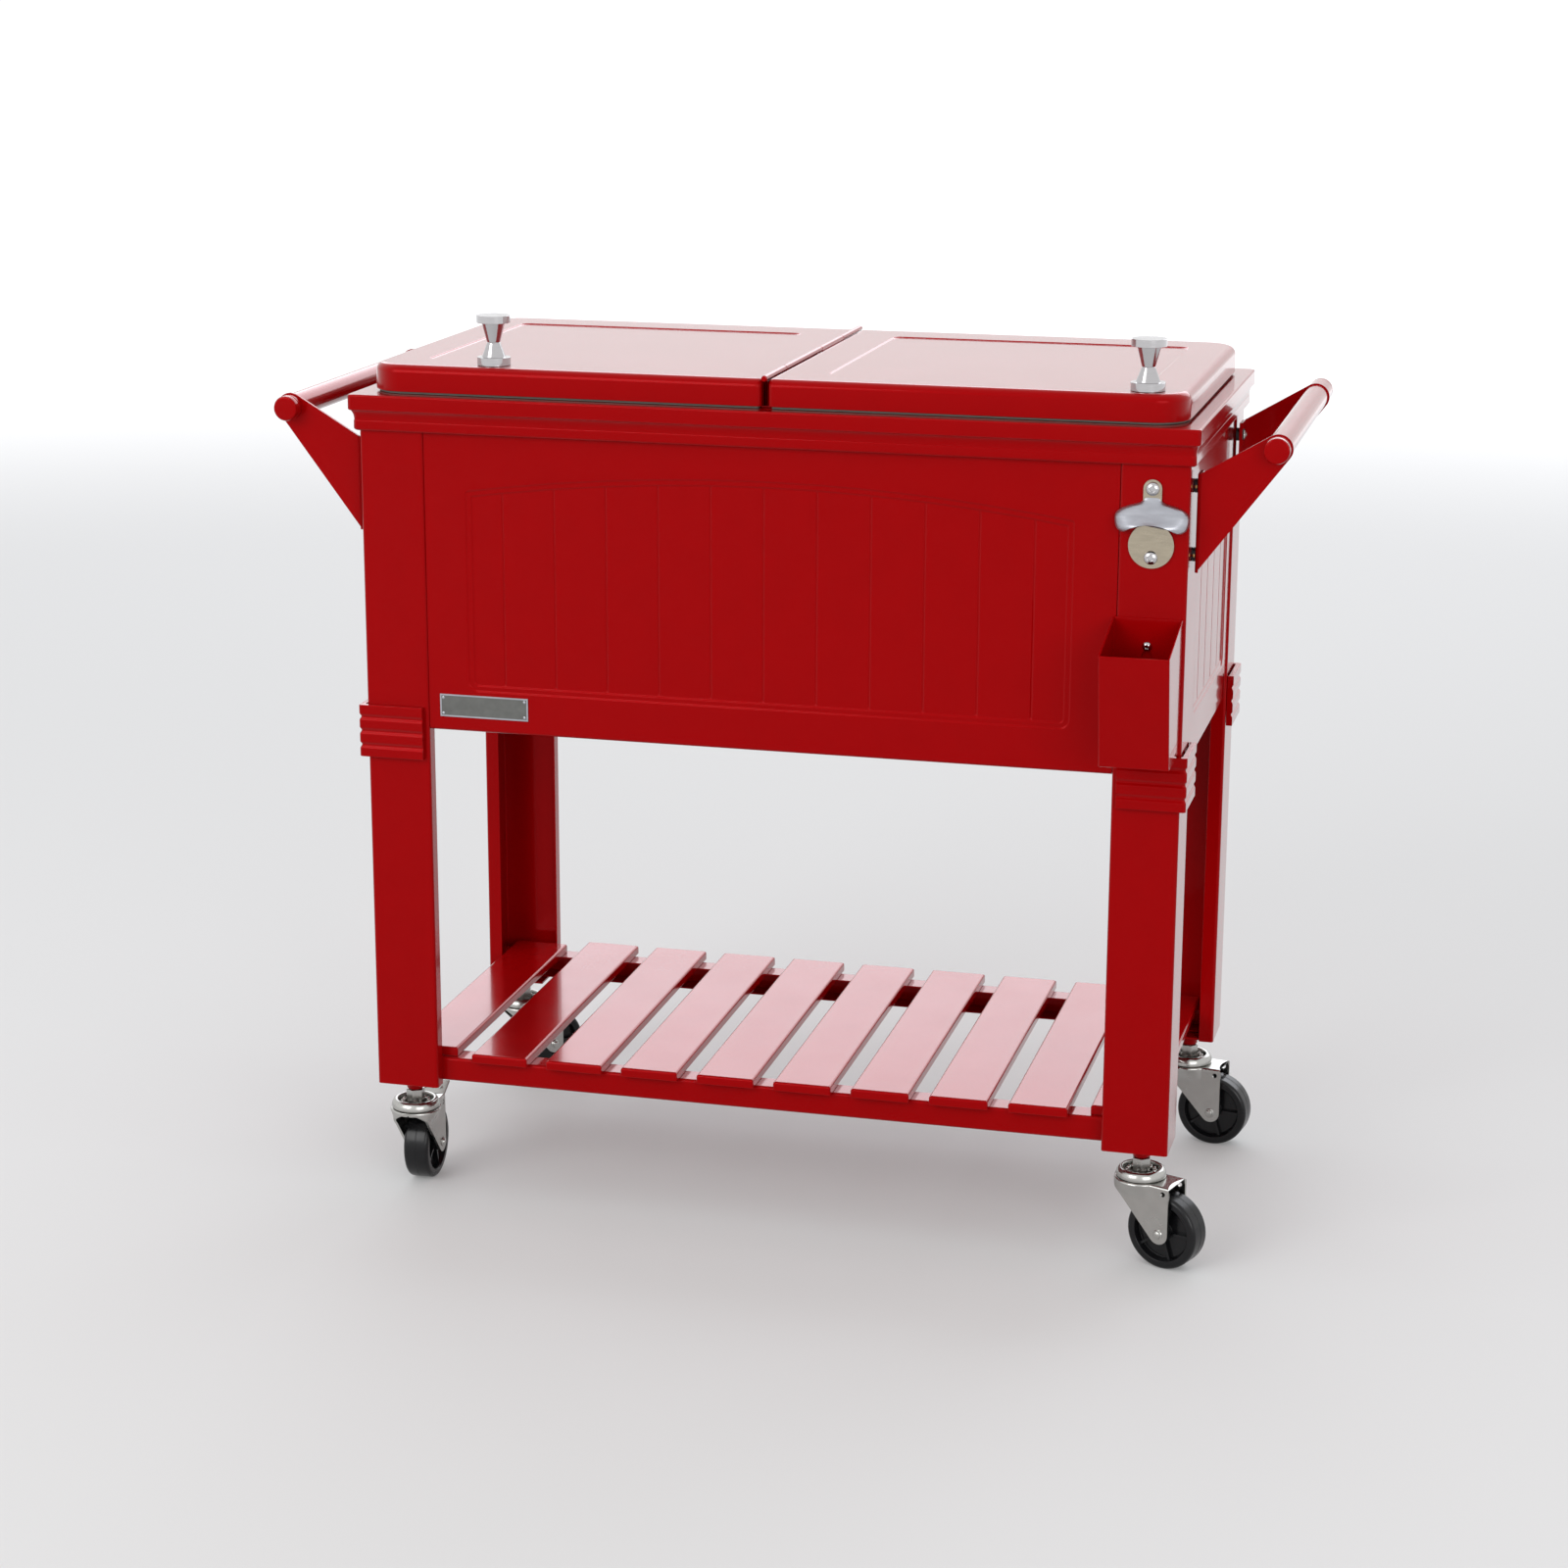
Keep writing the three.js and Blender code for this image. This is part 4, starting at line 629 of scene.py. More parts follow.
def lid_edge_rings(thickness):
    rings = []
    for inset, z in arc((LID_EDGE, LID_TOP - LID_EDGE), LID_EDGE - thickness, HALF_TURN, QUARTER, 10):
        rise = max(z - LID_TOP + LID_HINGE_EDGE, 0)
        reach = math.sqrt(max((LID_HINGE_EDGE - thickness) ** 2 - rise ** 2, 0))
        rings.append(lid_ring(inset, z, LID_HINGE_EDGE - reach))
    return rings


def recess_rings(level):
    """A soft step down from the lid's rim, from the outside in."""
    rings = []
    for share in shares(RECESS_STEPS):
        inset = RECESS_SLOPE * share
        across = (RECESS_HINGE + inset, HALF_X - RECESS_END - inset)
        deep = HALF_Y - RECESS_SIDE - inset
        z = level - RECESS_DEPTH * eased(share)
        rings.append(round_ring(across, (-deep, deep), [RECESS_CORNER] * 4, z, LID_STEPS))
    return rings


def lid_form():
    outside = [lid_ring(0, LID_BOTTOM)] + lid_edge_rings(0) + recess_rings(LID_TOP)
    inside = [lid_ring(SHEET, LID_BOTTOM)] + lid_edge_rings(SHEET) + recess_rings(LID_TOP - SHEET)
    return loft(outside[::-1] + inside)


LINER_HEIGHT = 3.5
LINER_SHEET = 2
GASKET_INSET = 1.2
GASKET_WIDTH = 5
PLUG_CORNER = 14
PLUG_HINGE = 20
PLUG_MARGIN = 11
PLUG_EDGE = 6


def liner_forms():
    inset = SHEET + GAP
    bottom = LID_BOTTOM + LINER_HEIGHT
    plate = loft([lid_ring(inset, bottom), lid_ring(inset, bottom + LINER_SHEET)])
    low = span("right_lid_liner")[2][0]
    outer, inner = inset + GASKET_INSET, inset + GASKET_INSET + GASKET_WIDTH
    base = CROWN_TOP + GAP
    section = [(outer, base), (inner, base), (inner, bottom), (outer, bottom)]
    gasket = loft([lid_ring(*corner) for corner in section], True)
    margin = CROWN_LEDGE + GAP + PLUG_MARGIN
    end, half = HALF_X - margin, HALF_Y - margin
    rings = []
    for out, up in arc((-PLUG_EDGE, PLUG_EDGE), PLUG_EDGE, -QUARTER, 0, 6) + [(0, bottom + 1 - low)]:
        across, deep = (PLUG_HINGE - out, end + out), (-half - out, half + out)
        rings.append(round_ring(across, deep, [PLUG_CORNER] * 4, low + up))
    return [(LINER, plate), (LINER, loft(rings))], gasket


KNOB_NUT = 5
KNOB_STUD = 2.5
KNOB_EDGE = 0.25
KNOB_PROFILE = [
    (15.8, 0), (16, 0.2), (16, 7.4), (15.8, 7.6), (11.6, 7.7), (11.3, 8), (6.4, 20.8), (6, 21.2), (6, 21.6),
    (6.4, 22), (11.1, 39.8), (11.4, 40.1), (16.1, 40.2), (16.3, 40.4),
]


def knob_form(centre):
    """A waisted knob, its stud through the lid and its nut below."""
    low, top = span("right_lid_knob")[2]
    base = LID_TOP + GAP
    under = LID_TOP - SHEET - GAP
    profile = [(0, low), (KNOB_NUT, low), (KNOB_NUT, under), (KNOB_STUD, under), (KNOB_STUD, base)]
    profile += [(radius, base + up) for radius, up in KNOB_PROFILE]
    rim = KNOB_PROFILE[-1][0]
    profile += [(rim, top - KNOB_EDGE), (rim - KNOB_EDGE, top), (0, top)]
    return turned(profile, "z", centre, FINE_ROUND)


BARREL_RADIUS = 3
BARREL_EDGE = 0.4
HINGE_HEIGHT = LID_TOP + 0.6
SEAMS = [share * LID_Y[1] for share in (-0.614, 0.115, 0.575)]
LEAF_HEIGHT = 14
LEAF_SHEET = 1
RAIL_BEARING = 18
RAIL_REACH = HALF_Y - CROWN_LEDGE - GAP + RAIL_BEARING
RAIL_HALF_WIDTH = 16
TUB_WALL = 2.5
WEB = 1
WEB_UPPER = 0.9
PIN_HEAD = 2.7
PIN_HEAD_LENGTH = 1.2


def knuckle(start, end):
    low, high = start + GAP / 2, end - GAP / 2
    ease = BARREL_RADIUS - BARREL_EDGE
    profile = [
        (0, low), (ease, low), (BARREL_RADIUS, low + BARREL_EDGE),
        (BARREL_RADIUS, high - BARREL_EDGE), (ease, high), (0, high),
    ]
    return turned(profile, "y", (0, HINGE_HEIGHT), 32)


def rail_forms():
    (x0, x1), (y0, y1), (z0, _) = span("hinge_rail")
    top = CROWN_TOP + GAP + SHEET
    whole = (-RAIL_REACH, RAIL_REACH)
    between = RAIL_REACH - RAIL_BEARING - TUB_WALL - GAP
    skirt = [(-between, between), (z0, top - SHEET / 2)]
    forms = [block((x0, x1), whole, (top - SHEET, top))]
    forms += [block((x, x + SHEET), *skirt) for x in (x0, x1 - SHEET)]
    forms.append(block((-WEB, WEB), whole, (top - SHEET / 2, HINGE_HEIGHT - BARREL_RADIUS - 2 * GAP)))
    for start, end in ((LID_Y[0], SEAMS[0]), (SEAMS[2], LID_Y[1])):
        ends = (max(start + GAP / 2, -RAIL_REACH), min(end - GAP / 2, RAIL_REACH))
        upper = block((-WEB_UPPER, WEB_UPPER), ends, (top - SHEET / 4, HINGE_HEIGHT))
        forms += [upper, knuckle(start, end)]
    for low, high in ((y0, y0 + PIN_HEAD_LENGTH), (y1 - PIN_HEAD_LENGTH, y1)):
        eased_end = [(PIN_HEAD - BARREL_EDGE, low), (PIN_HEAD, low + BARREL_EDGE)]
        profile = [(0, low)] + eased_end + [(PIN_HEAD, high), (0, high)]
        forms.append(turned(profile, "y", (0, HINGE_HEIGHT), 32))
    return forms


def leaf_forms(start, end):
    outer = LID_X[0] - GAP
    across, deep = (outer - LEAF_SHEET, outer), (start + GAP / 2, end - GAP / 2)
    return [knuckle(start, end), block(across, deep, (HINGE_HEIGHT - LEAF_HEIGHT, HINGE_HEIGHT))]


def add_lids():
    add_red("coated_hinge_rail", rail_forms(), "hinge_rail", edge=0.3)
    shell, (liner, gasket) = lid_form(), liner_forms()
    past, reach = RAIL_HALF_WIDTH + GAP, RAIL_REACH + GAP
    clear = block((-past, past), (-reach, reach), (CROWN_TOP + GAP - 1, CROWN_TOP + SHEET + 3 * GAP))
    for side, sign, seams in (("right", 1, SEAMS[1:]), ("left", -1, SEAMS[:2])):
        body = f"lid_{side}"
        add_red(f"pressed_{side}_lid", [mirrored(shell, sign)], f"{side}_lid_shell", body, edge=0.3)
        lining = mirrored_parts(liner, sign)
        add_piece(f"{side}_lid_lining", lining, body, "liner_plastic", [f"{side}_lid_liner"])
        sealing = [(SEAL, mirrored(gasket, sign))]
        add_piece(f"{side}_lid_gasket", sealing, body, "lid_liner", cuts=[mirrored(clear, sign)])
        node = f"{side}_lid_knob"
        steel = [(STEEL, knob_form(middles(node)[:2]))]
        add_piece(f"turned_{side}_knob", steel, body, "knob_steel", [node], edge=0)
        leaf = [mirrored(form, sign) for form in leaf_forms(*seams)]
        add_red(f"rolled_{side}_leaf", leaf, f"{side}_hinge_leaf", body, edge=0.2)


# Shelf

SLAT_BEND = 2.5
SLAT_CORNER = 1.5


def slat_form(across, deep, low, high):
    """A strip of sheet folded down on all four sides."""
    def ring(inset, z):
        (x0, x1), (y0, y1) = across, deep
        return round_ring((x0 + inset, x1 - inset), (y0 + inset, y1 - inset), [SLAT_CORNER] * 4, z, 3)

    centre = (SLAT_BEND, high - SLAT_BEND)
    section = arc(centre, SLAT_BEND, QUARTER, HALF_TURN, 4) + [(0, low), (SHEET, low)]
    section += arc(centre, SLAT_BEND - SHEET, HALF_TURN, QUARTER, 4)
    return loft([ring(*spot) for spot in section])


def add_shelf():
    ends, (face, inside), (low, high) = span("shelf_rail_front")
    path = [(inside, high), (face, high), (face, low), (inside, low)]
    rail = prism(folded(path), "x", ends)
    for side, sign in (("front", 1), ("back", -1)):
        node = f"shelf_rail_{side}"
        add_red(f"coated_{node}", [mirrored(rail, 1, sign)], node, edge=0.3)
    for node in sorted(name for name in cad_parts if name.startswith("slat_")):
        across, deep, levels = span(node)
        add_red(f"coated_{node}", [slat_form(across, deep, *levels)], node, edge=0.35)


# Handles, drawn at the right

ROD_X, ROD_Y, ROD_Z = span("right_handle_rod")
ROD_CENTRE = (sum(ROD_X) / 2, sum(ROD_Z) / 2)
ROD_RADIUS = (ROD_X[1] - ROD_X[0]) / 2
ROD_END = [(2.2, 0), (0.8, 0.5), (0, 1.8), (0, 7.3), (0.9, 7.7), (0.9, 8.3), (0, 8.7)]
BRACKET_SHEET = 3
BRACKET_COLLAR = 1.4
TAPER_LOW = 2.2
TAPER_HIGH = 0.6
BRACKET_TOP = CROWN_TOP - 44
BRACKET_HEIGHT = 91
FLANGE_X = HALF_X + 4
BOLT_INSET = 14
BOLT_SHARES = (0.14, 0.84)
BOLT_HEAD = (4.7, 2.3)
WASHER = (5.6, 0.7)
SPACER = 6.5
STUD_INSET = 6
STUD = [(0, 0), (1.7, 0), (1.7, 1), (1, 1.6), (0, 1.7)]


def rod_form():
    """A round rod with eased ends and a fine ring turned in near each."""
    def end(y, into):
        return [(0, y)] + [(ROD_RADIUS - drop, y + into * away) for drop, away in ROD_END]

    return turned(end(ROD_Y[0], 1) + end(ROD_Y[1], -1)[::-1], "y", ROD_CENTRE, 64)


def bracket_forms(ends, outward):
    """A tapered plate with a round end for the rod, folded into a flange with two bolts."""
    low, high = BRACKET_TOP - BRACKET_HEIGHT, BRACKET_TOP
    radius = ROD_RADIUS + BRACKET_COLLAR
    outer = FLANGE_X + BRACKET_SHEET

    def touch(z, side):
        reach_x, reach_z = ROD_CENTRE[0] - FLANGE_X, ROD_CENTRE[1] - z
        lean = math.atan2(reach_z, reach_x) + side * math.asin(radius / math.hypot(reach_x, reach_z))
        return lean + side * QUARTER

    outline = [(outer, low + TAPER_LOW)] + arc(ROD_CENTRE, radius, touch(low, -1), touch(high, 1), 24)
    outline.append((outer, high + TAPER_HIGH))
    near, far = ends if outward < 0 else ends[::-1]
    inwards = -outward * BRACKET_SHEET
    plate = prism(outline, "y", sorted((near, near + inwards)))
    path = [(FLANGE_X, far), (FLANGE_X, near), (outer + GAP, near)]
    return [plate, prism(folded(path, inwards, BRACKET_SHEET), "z", (low, high))]


def bolt_parts(y, z, outward):
    """A bolt through the flange with its washer, its spacer, and a stud seen at the flange's side."""
    outer = FLANGE_X + BRACKET_SHEET
    near = HALF_X + GAP

    def ring(radius, start, end):
        return turned([(0, start), (radius, start), (radius, end), (0, end)], "x", (y, z), 32)

    radius, thickness = WASHER
    washer, spacer = ring(radius, outer, outer + thickness), ring(SPACER, near, FLANGE_X - 0.1)
    head = pan_head((y, z), "x", outer + thickness, *BOLT_HEAD, 1)
    profile = [(across, y + outward * (STUD_INSET + away)) for across, away in STUD]
    stud = turned(profile, "y", ((near + FLANGE_X) / 2, z), 20)
    return [(DARK, washer), (DARK, spacer), (ZINC, head), (BRASS, stud)]


def add_handles():
    rod = rod_form()
    for side, sign in (("left", -1), ("right", 1)):
        node = f"{side}_handle_rod"
        add_red(f"coated_{node}", [mirrored(rod, sign)], node, edge=0.25)
        for place, outward in (("front", -1), ("back", 1)):
            ends = span(f"right_handle_bracket_{place}")[1]
            forms = [mirrored(form, sign) for form in bracket_forms(ends, outward)]
            node = f"{side}_handle_bracket_{place}"
            add_red(f"folded_{node}", forms, node)
            middle = ends[outward > 0] - outward * BOLT_INSET
            bolts = []
            for share in BOLT_SHARES:
                bolts += bolt_parts(middle, BRACKET_TOP - share * BRACKET_HEIGHT, outward)
            add_piece(f"{side}_{place}_bolts", mirrored_parts(bolts, sign), "root", "zinc", edge=0.15)


# Bottle opener

OPENER_X, OPENER_Y, OPENER_Z = span("bottle_opener")
OPENER_MIDDLE = sum(OPENER_X) / 2
OPENER_PLATE = 2
TAB_RADIUS = 8.5
TAB_Z = OPENER_Z[1] - TAB_RADIUS
DISC_RADIUS = 21
DISC_Z = OPENER_Z[0] + DISC_RADIUS
HOOD_TOP = TAB_Z - 8.3
HOOD_BOTTOM = HOOD_TOP - 32
HOOD_REACH = 20
HOOD_ARCH = 9.7
HOOD_POWER = 0.75
HOOD_SHEET = 2.6
HOOD_LEAST = 0.4
HOOD_STEPS = 48
LOW_SCREW = DISC_Z - 11
OPENER_HEAD = (6.5, OPENER_PLATE + 1.4)
TOOTH_HALF = 4.5
TOOTH_DEPTH = (3.4, 5.6)
TOOTH_HEIGHT = (0.4, 3)
HOOD_WIDTHS = [
    (0, 0.245), (0.087, 0.25), (0.147, 0.33), (0.187, 0.43), (0.226, 0.585), (0.266, 0.7), (0.325, 0.82),
    (0.385, 0.9), (0.464, 0.97), (0.56, 1), (0.68, 0.995), (0.78, 0.98), (0.86, 0.955), (0.92, 0.92),
    (0.96, 0.87), (1, 0.8),
]


def read_off(table, share):
    """The value at a share along a table of rows, straight between them."""
    for (start, low), (end, high) in zip(table, table[1:]):
        if share <= end:
            return low + (high - low) * (share - start) / (end - start)
    return table[-1][1]


def hood_form():
    """A bowed sheet that flares out and forward as it comes down, with an arch in its lower edge."""
    half_hood, back = (OPENER_X[1] - OPENER_X[0]) / 2, OPENER_Y[1]
    bow = [
        (math.copysign(abs(x) ** HOOD_POWER, x), max(y, 0) ** HOOD_POWER)
        for x, y in arc((0, 0), 1, 0, HALF_TURN, 36)
    ]
    rings = []
    for share in shares(HOOD_STEPS):
        half = half_hood * read_off(HOOD_WIDTHS, share)
        reach = OPENER_PLATE + (HOOD_REACH - OPENER_PLATE) * share
        level = HOOD_TOP + (HOOD_BOTTOM - HOOD_TOP) * share
        arch = HOOD_ARCH * share ** 2

        def lip(less):
            wide, deep = half - less, reach - less
            return [(OPENER_MIDDLE + wide * x, back - deep * y, level + arch * (1 - x ** 2)) for x, y in bow]

        rings.append(lip(0) + lip(min(HOOD_SHEET, reach - HOOD_LEAST))[::-1])
    return loft(rings)


def add_opener():
    back, middle = OPENER_Y[1], OPENER_MIDDLE
    face = back - OPENER_PLATE
    tab = (middle - TAB_RADIUS, middle + TAB_RADIUS)
    plates = [
        bar((middle, DISC_Z), DISC_RADIUS, "y", (face, back), 72),
        bar((middle, TAB_Z), TAB_RADIUS, "y", (face, back)),
        block(tab, (face + 0.1, back), (DISC_Z, TAB_Z)),
    ]
    depth = [back - HOOD_REACH + step for step in TOOTH_DEPTH]
    levels = [HOOD_BOTTOM + HOOD_ARCH + step for step in TOOTH_HEIGHT]
    tooth = block((middle - TOOTH_HALF, middle + TOOTH_HALF), depth, levels)
    screws = [pan_head((middle, z), "y", face, *OPENER_HEAD, -1) for z in (TAB_Z, LOW_SCREW)]
    # One nickel casting: the disc and tab wear a warm painted reflection, the hood and tooth a blue painted
    # sky reflection.
    parts = made_of(NICKEL_PAINTED_WARM_REFLECTION, plates) + made_of(NICKEL_PAINTED_SKY_REFLECTION, [hood_form(), tooth]) + made_of(STEEL, screws)
    add_piece("cast_bottle_opener", parts, "root", "nickel", ["bottle_opener"], edge=0.5, segments=3)


# Cap catcher

KEYHOLE = 5
KEYHOLE_NECK = 2.3
CATCHER_BASE = [(0.8, 1, 0), (0.2, 1.2, 0.3), (0, 1.4, 1)]


def add_catcher():
    y0, y1 = CATCHER_Y
    rim = CATCHER_TOP - CATCHER_DROP
    slope = CATCHER_DROP / (y1 - y0)

    def ring(inset, radius, level=None):
        up = 1 if level is None else (level - CATCHER_BOTTOM) / (rim - CATCHER_BOTTOM)
        front = y1 - CATCHER_DEPTH - (y1 - y0 - CATCHER_DEPTH) * up
        across = (CATCHER_X[0] + inset, CATCHER_X[1] - inset)
        flat = round_ring(across, (front + inset, y1 - inset), [radius] * 4, 0, 5)
        return [(x, y, CATCHER_TOP - (y1 - y) * slope if level is None else level) for x, y, _ in flat]

    base = [ring(inset, radius, CATCHER_BOTTOM + up) for inset, radius, up in CATCHER_BASE]
    box = loft(base + [ring(0, 1.4), ring(SHEET, 0.6), ring(SHEET, 0.6, CATCHER_BOTTOM + SHEET)])
    wall = (y1 - SHEET - 1, y1 + 1)
    low = CATCHER_SCREW - CATCHER_LIFT
    cuts = [
        bar((CATCHER_MIDDLE, low), KEYHOLE, "y", wall, 32),
        block((CATCHER_MIDDLE - KEYHOLE_NECK, CATCHER_MIDDLE + KEYHOLE_NECK), wall, (low, CATCHER_SCREW)),
        bar((CATCHER_MIDDLE, CATCHER_SCREW), KEYHOLE_NECK, "y", wall, 32),
    ]
    add_red("folded_cap_catcher", [box], "cap_catcher", "cap_catcher", edge=0.3, cuts=cuts)


# Casters, drawn about the swivel axis with the wheel trailing along the caster's own +X

WHEEL_WIDTH = 26
TREAD_EDGE = 4
TYRE = 9.5
HUB = [(4.3, 0), (8.2, 0), (9, -0.8)]
WEB_HALF = 6
RIM_FILLET = 1
RIM_BEVEL = 0.8
SPOKES = 5
SPOKE_START = 8.5
SPOKE_DEEP = (5.5, 10.2)
SPOKE_HALF = 1.3
TRAIL = 30
FORK_WIDTH = 36
FORK_PLATE = 2.5
FORK_TOP = span("caster_fork_front_right")[2][1]
AXLE_HEIGHT = middles("caster_wheel_front_right")[2]
AXLE_RADIUS = 4
WHEEL_RADIUS = AXLE_HEIGHT
FORK_DISC = 26
FORK_STEPS = 34
FORK_CROWDING = 1.2
EYE_STEPS = 14
FLARE_STEPS = 12
BROW = (-18, FORK_TOP - FORK_PLATE - 8)
SHOULDER = 2.2
FLARE_HEIGHT = 16
TONGUE_HOLLOW = 4.5
RIVET = [(0, -1), (4.9, -1), (4.9, 0.5), (4.3, 1.2), (3.6, 1.3), (3.2, 2.2), (2, 2.8), (0, 3)]
HEX_ACROSS = 16.5
THREAD = 5
KINGPIN = [(0, -7), (5, -7), (8, -5), (8, -3), (0, -3)]
KINGPIN_SHANK = 6
BALLS = 14
BALL_RADIUS = 2.5
BALL_CIRCLE = 13.6
BALL_HEIGHT = 4.6
RACE_RADIUS = span("caster_stem_front_right")[0][1] - STEM_X
RACE = [
    (0, 2.4), (17, 2.4), (17.6, 3.4), (17.8, 7.6), (18.3, 8.6), (19.3, 9), (20.6, 8.9), (22.4, 7.8),
    (23.7, 5.6), (RACE_RADIUS, 3), (RACE_RADIUS, 1), (RACE_RADIUS - 0.8, 0), (0, 0),
]
EYE = 10
PIN = (34, FORK_TOP - FORK_PLATE - 4.2)
PIN_HOLE = 2.5
PIN_RADIUS = 2
BRAKE_HALF = 14.7
BRAKE_HUB = 3
LEVER = [(32, 12), (8, 1), (0, 0)]
LEVER_SHEET = 2
SHOE = ((3, 5), (-3.7, 1))
DIMPLE = [(0, 0), (2.6, 0), (2.2, 0.7), (0, 0.9)]
DIMPLE_SPOT = (22, 7.4)
DIMPLE_SPACING = 8


def stem_parts():
    """The raceway with its open well of balls, the hexagon, the thread, and the kingpin's head below."""
    cup = FORK_TOP + GAP

    def spun(profile, sides):
        return turned([(radius, cup + z) for radius, z in profile], "z", (0, 0), sides)

    corner = HEX_ACROSS / 2 / math.cos(HALF_TURN / 6)
    hexagon = bar((0, 0), corner, "z", (cup + 1, BOSS_BOTTOM - GAP), 6)
    thread = bar((0, 0), THREAD, "z", (cup + 4, LEG_BOTTOM), 32)
    shank = bar((0, 0), KINGPIN_SHANK, "z", (cup - 4, cup + 1), 32)
    forms = [spun(RACE, 72), hexagon, thread, spun(KINGPIN, 32), shank]
    half_round = arc((0, cup + BALL_HEIGHT), BALL_RADIUS, -QUARTER, QUARTER, 8)
    for centre in circle((0, 0), BALL_CIRCLE, BALLS):
        forms.append(turned(half_round, "z", centre, 14))
    return made_of(ZINC, forms)


def fork_section(x, low):
    """Half the fork's section, along its round top, over the shoulder and down the side."""
    half = FORK_WIDTH / 2
    wide = math.sqrt(max(FORK_DISC ** 2 - x ** 2, 0))
    if x > 0:
        wide = max(wide, half)
    narrow = min(wide, half)
    points = [(wide * i / 6, FORK_TOP) for i in range(6)]
    points += arc((wide - SHOULDER, FORK_TOP - SHOULDER), SHOULDER, QUARTER, 0, 5)
    start = FORK_TOP - SHOULDER
    for share in shares(FLARE_STEPS)[1:]:
        z = start + (low - start) * share
        fall = min((FORK_TOP - z) / FLARE_HEIGHT, 1)
        points.append((wide + (narrow - wide) * fall ** 1.6 * (3 - 2 * fall) ** 0.5, z))
    inner = [(max(y - FORK_PLATE, 0.4), min(z, FORK_TOP - FORK_PLATE)) for y, z in points]
    return points, inner[::-1]


def fork_parts():
    """A pressed fork, as sections along the caster, with a hollow end edge and domed rivets."""
    half = FORK_WIDTH / 2
    under = FORK_TOP - FORK_PLATE
    brow_x, brow_z = BROW
    reach = math.hypot(TRAIL - brow_x, AXLE_HEIGHT - brow_z)
    slope = math.atan2(AXLE_HEIGHT - brow_z, TRAIL - brow_x) - math.asin(EYE / reach)
    touch_x = TRAIL + EYE * math.sin(slope)
    front = -FORK_DISC + 0.2
    stations = [front + (touch_x - front) * share ** FORK_CROWDING for share in shares(FORK_STEPS)[:-1]]
    begin = math.asin((touch_x - TRAIL) / EYE)
    stations += [TRAIL + EYE * math.sin(begin + (QUARTER - begin) * share) for share in shares(EYE_STEPS)]
    rings = []
    for x in stations:
        low = min(brow_z + (x - brow_x) * math.tan(slope), FORK_TOP - SHOULDER - 1.2)
        if x >= touch_x:
            low = AXLE_HEIGHT - math.sqrt(max(EYE ** 2 - (x - TRAIL) ** 2, 0))
        outer, inner = fork_section(x, low)
        ring = outer + inner
        ring += [(-y, z) for y, z in ring[::-1]][1:-1]
        hollow = TONGUE_HOLLOW * max(x - TRAIL, 0) / EYE
        bows = [hollow * (1 - min(abs(y) / half, 1) ** 2) if z > under - 0.5 else 0 for y, z in ring]
        rings.append([(x - bow, y, z) for bow, (y, z) in zip(bows, ring)])
    forms = [bar((TRAIL, AXLE_HEIGHT), AXLE_RADIUS, "y", (-half + 1, half - 1), 32)]
    for sign in (-1, 1):
        profile = [(radius, sign * (half + out)) for radius, out in RIVET]
        forms.append(turned(profile, "y", (TRAIL, AXLE_HEIGHT), 40))
    hole = bar(PIN, PIN_HOLE, "y", (-half - 1, half + 1), 24)
    return loft(rings), made_of(ZINC, forms), hole


def wheel_forms():
    """A wheel with a rounded tread, a web set in from its sides, and spokes on both its faces."""
    half = WHEEL_WIDTH / 2
    rim = WHEEL_RADIUS - TYRE
    hub_end = FORK_WIDTH / 2 - FORK_PLATE - GAP
    side = [(radius, hub_end + out) for radius, out in HUB]
    side += [(9.4, WEB_HALF + 0.4), (10, WEB_HALF)]
    side += [(rim - RIM_FILLET, WEB_HALF), (rim, WEB_HALF + RIM_FILLET)]
    side += [(rim + RIM_BEVEL, half - RIM_BEVEL), (rim + 2 * RIM_BEVEL, half)]
    side += arc((WHEEL_RADIUS - TREAD_EDGE, half - TREAD_EDGE), TREAD_EDGE, QUARTER, 0, 6)
    side += [(WHEEL_RADIUS, 0.5), (WHEEL_RADIUS - 0.25, 0.3)]
    other = [(radius, -y) for radius, y in side][::-1]
    forms = [turned(side + other + side[:1], "y", (TRAIL, AXLE_HEIGHT), FINE_ROUND)]
    centre = Matrix.Translation((TRAIL, 0, AXLE_HEIGHT))
    for i in range(SPOKES):
        turn = Matrix.Rotation(2 * HALF_TURN * i / SPOKES, 4, "Y")
        for sign in (-1, 1):
            deep = sorted(sign * side for side in SPOKE_DEEP)
            spoke = block((SPOKE_START, rim + 0.5), deep, (-SPOKE_HALF, SPOKE_HALF))
            forms.append(moved(spoke, centre @ turn))
    return forms


def brake_parts():
    """A folded pedal on its pin, with a shoe over the wheel and three dimples for grip."""
    x, z = PIN
    across = (-BRAKE_HALF, BRAKE_HALF)
    lever = [(x + ahead, z + up) for ahead, up in LEVER]
    pin_ends = (-FORK_WIDTH / 2 + GAP, FORK_WIDTH / 2 - GAP)
    forms = [
        prism(folded(lever, LEVER_SHEET), "y", across),
        bar(PIN, BRAKE_HUB, "y", across, 32),
        bar(PIN, PIN_RADIUS, "y", pin_ends, 32),
        block([x + ahead for ahead in SHOE[0]], across, [z + up for up in SHOE[1]]),
    ]
    (end_x, end_z), (fold_x, fold_z), _ = LEVER
    tilt = Matrix.Rotation(-math.atan2(end_z - fold_z, end_x - fold_x), 4, "Y")
    for y in (-DIMPLE_SPACING, 0, DIMPLE_SPACING):
        spot = Matrix.Translation((x + DIMPLE_SPOT[0], y, z + DIMPLE_SPOT[1]))
        forms.append(moved(turned(DIMPLE, "z", (0, 0), 20), spot @ tilt))
    return made_of(ZINC, forms)


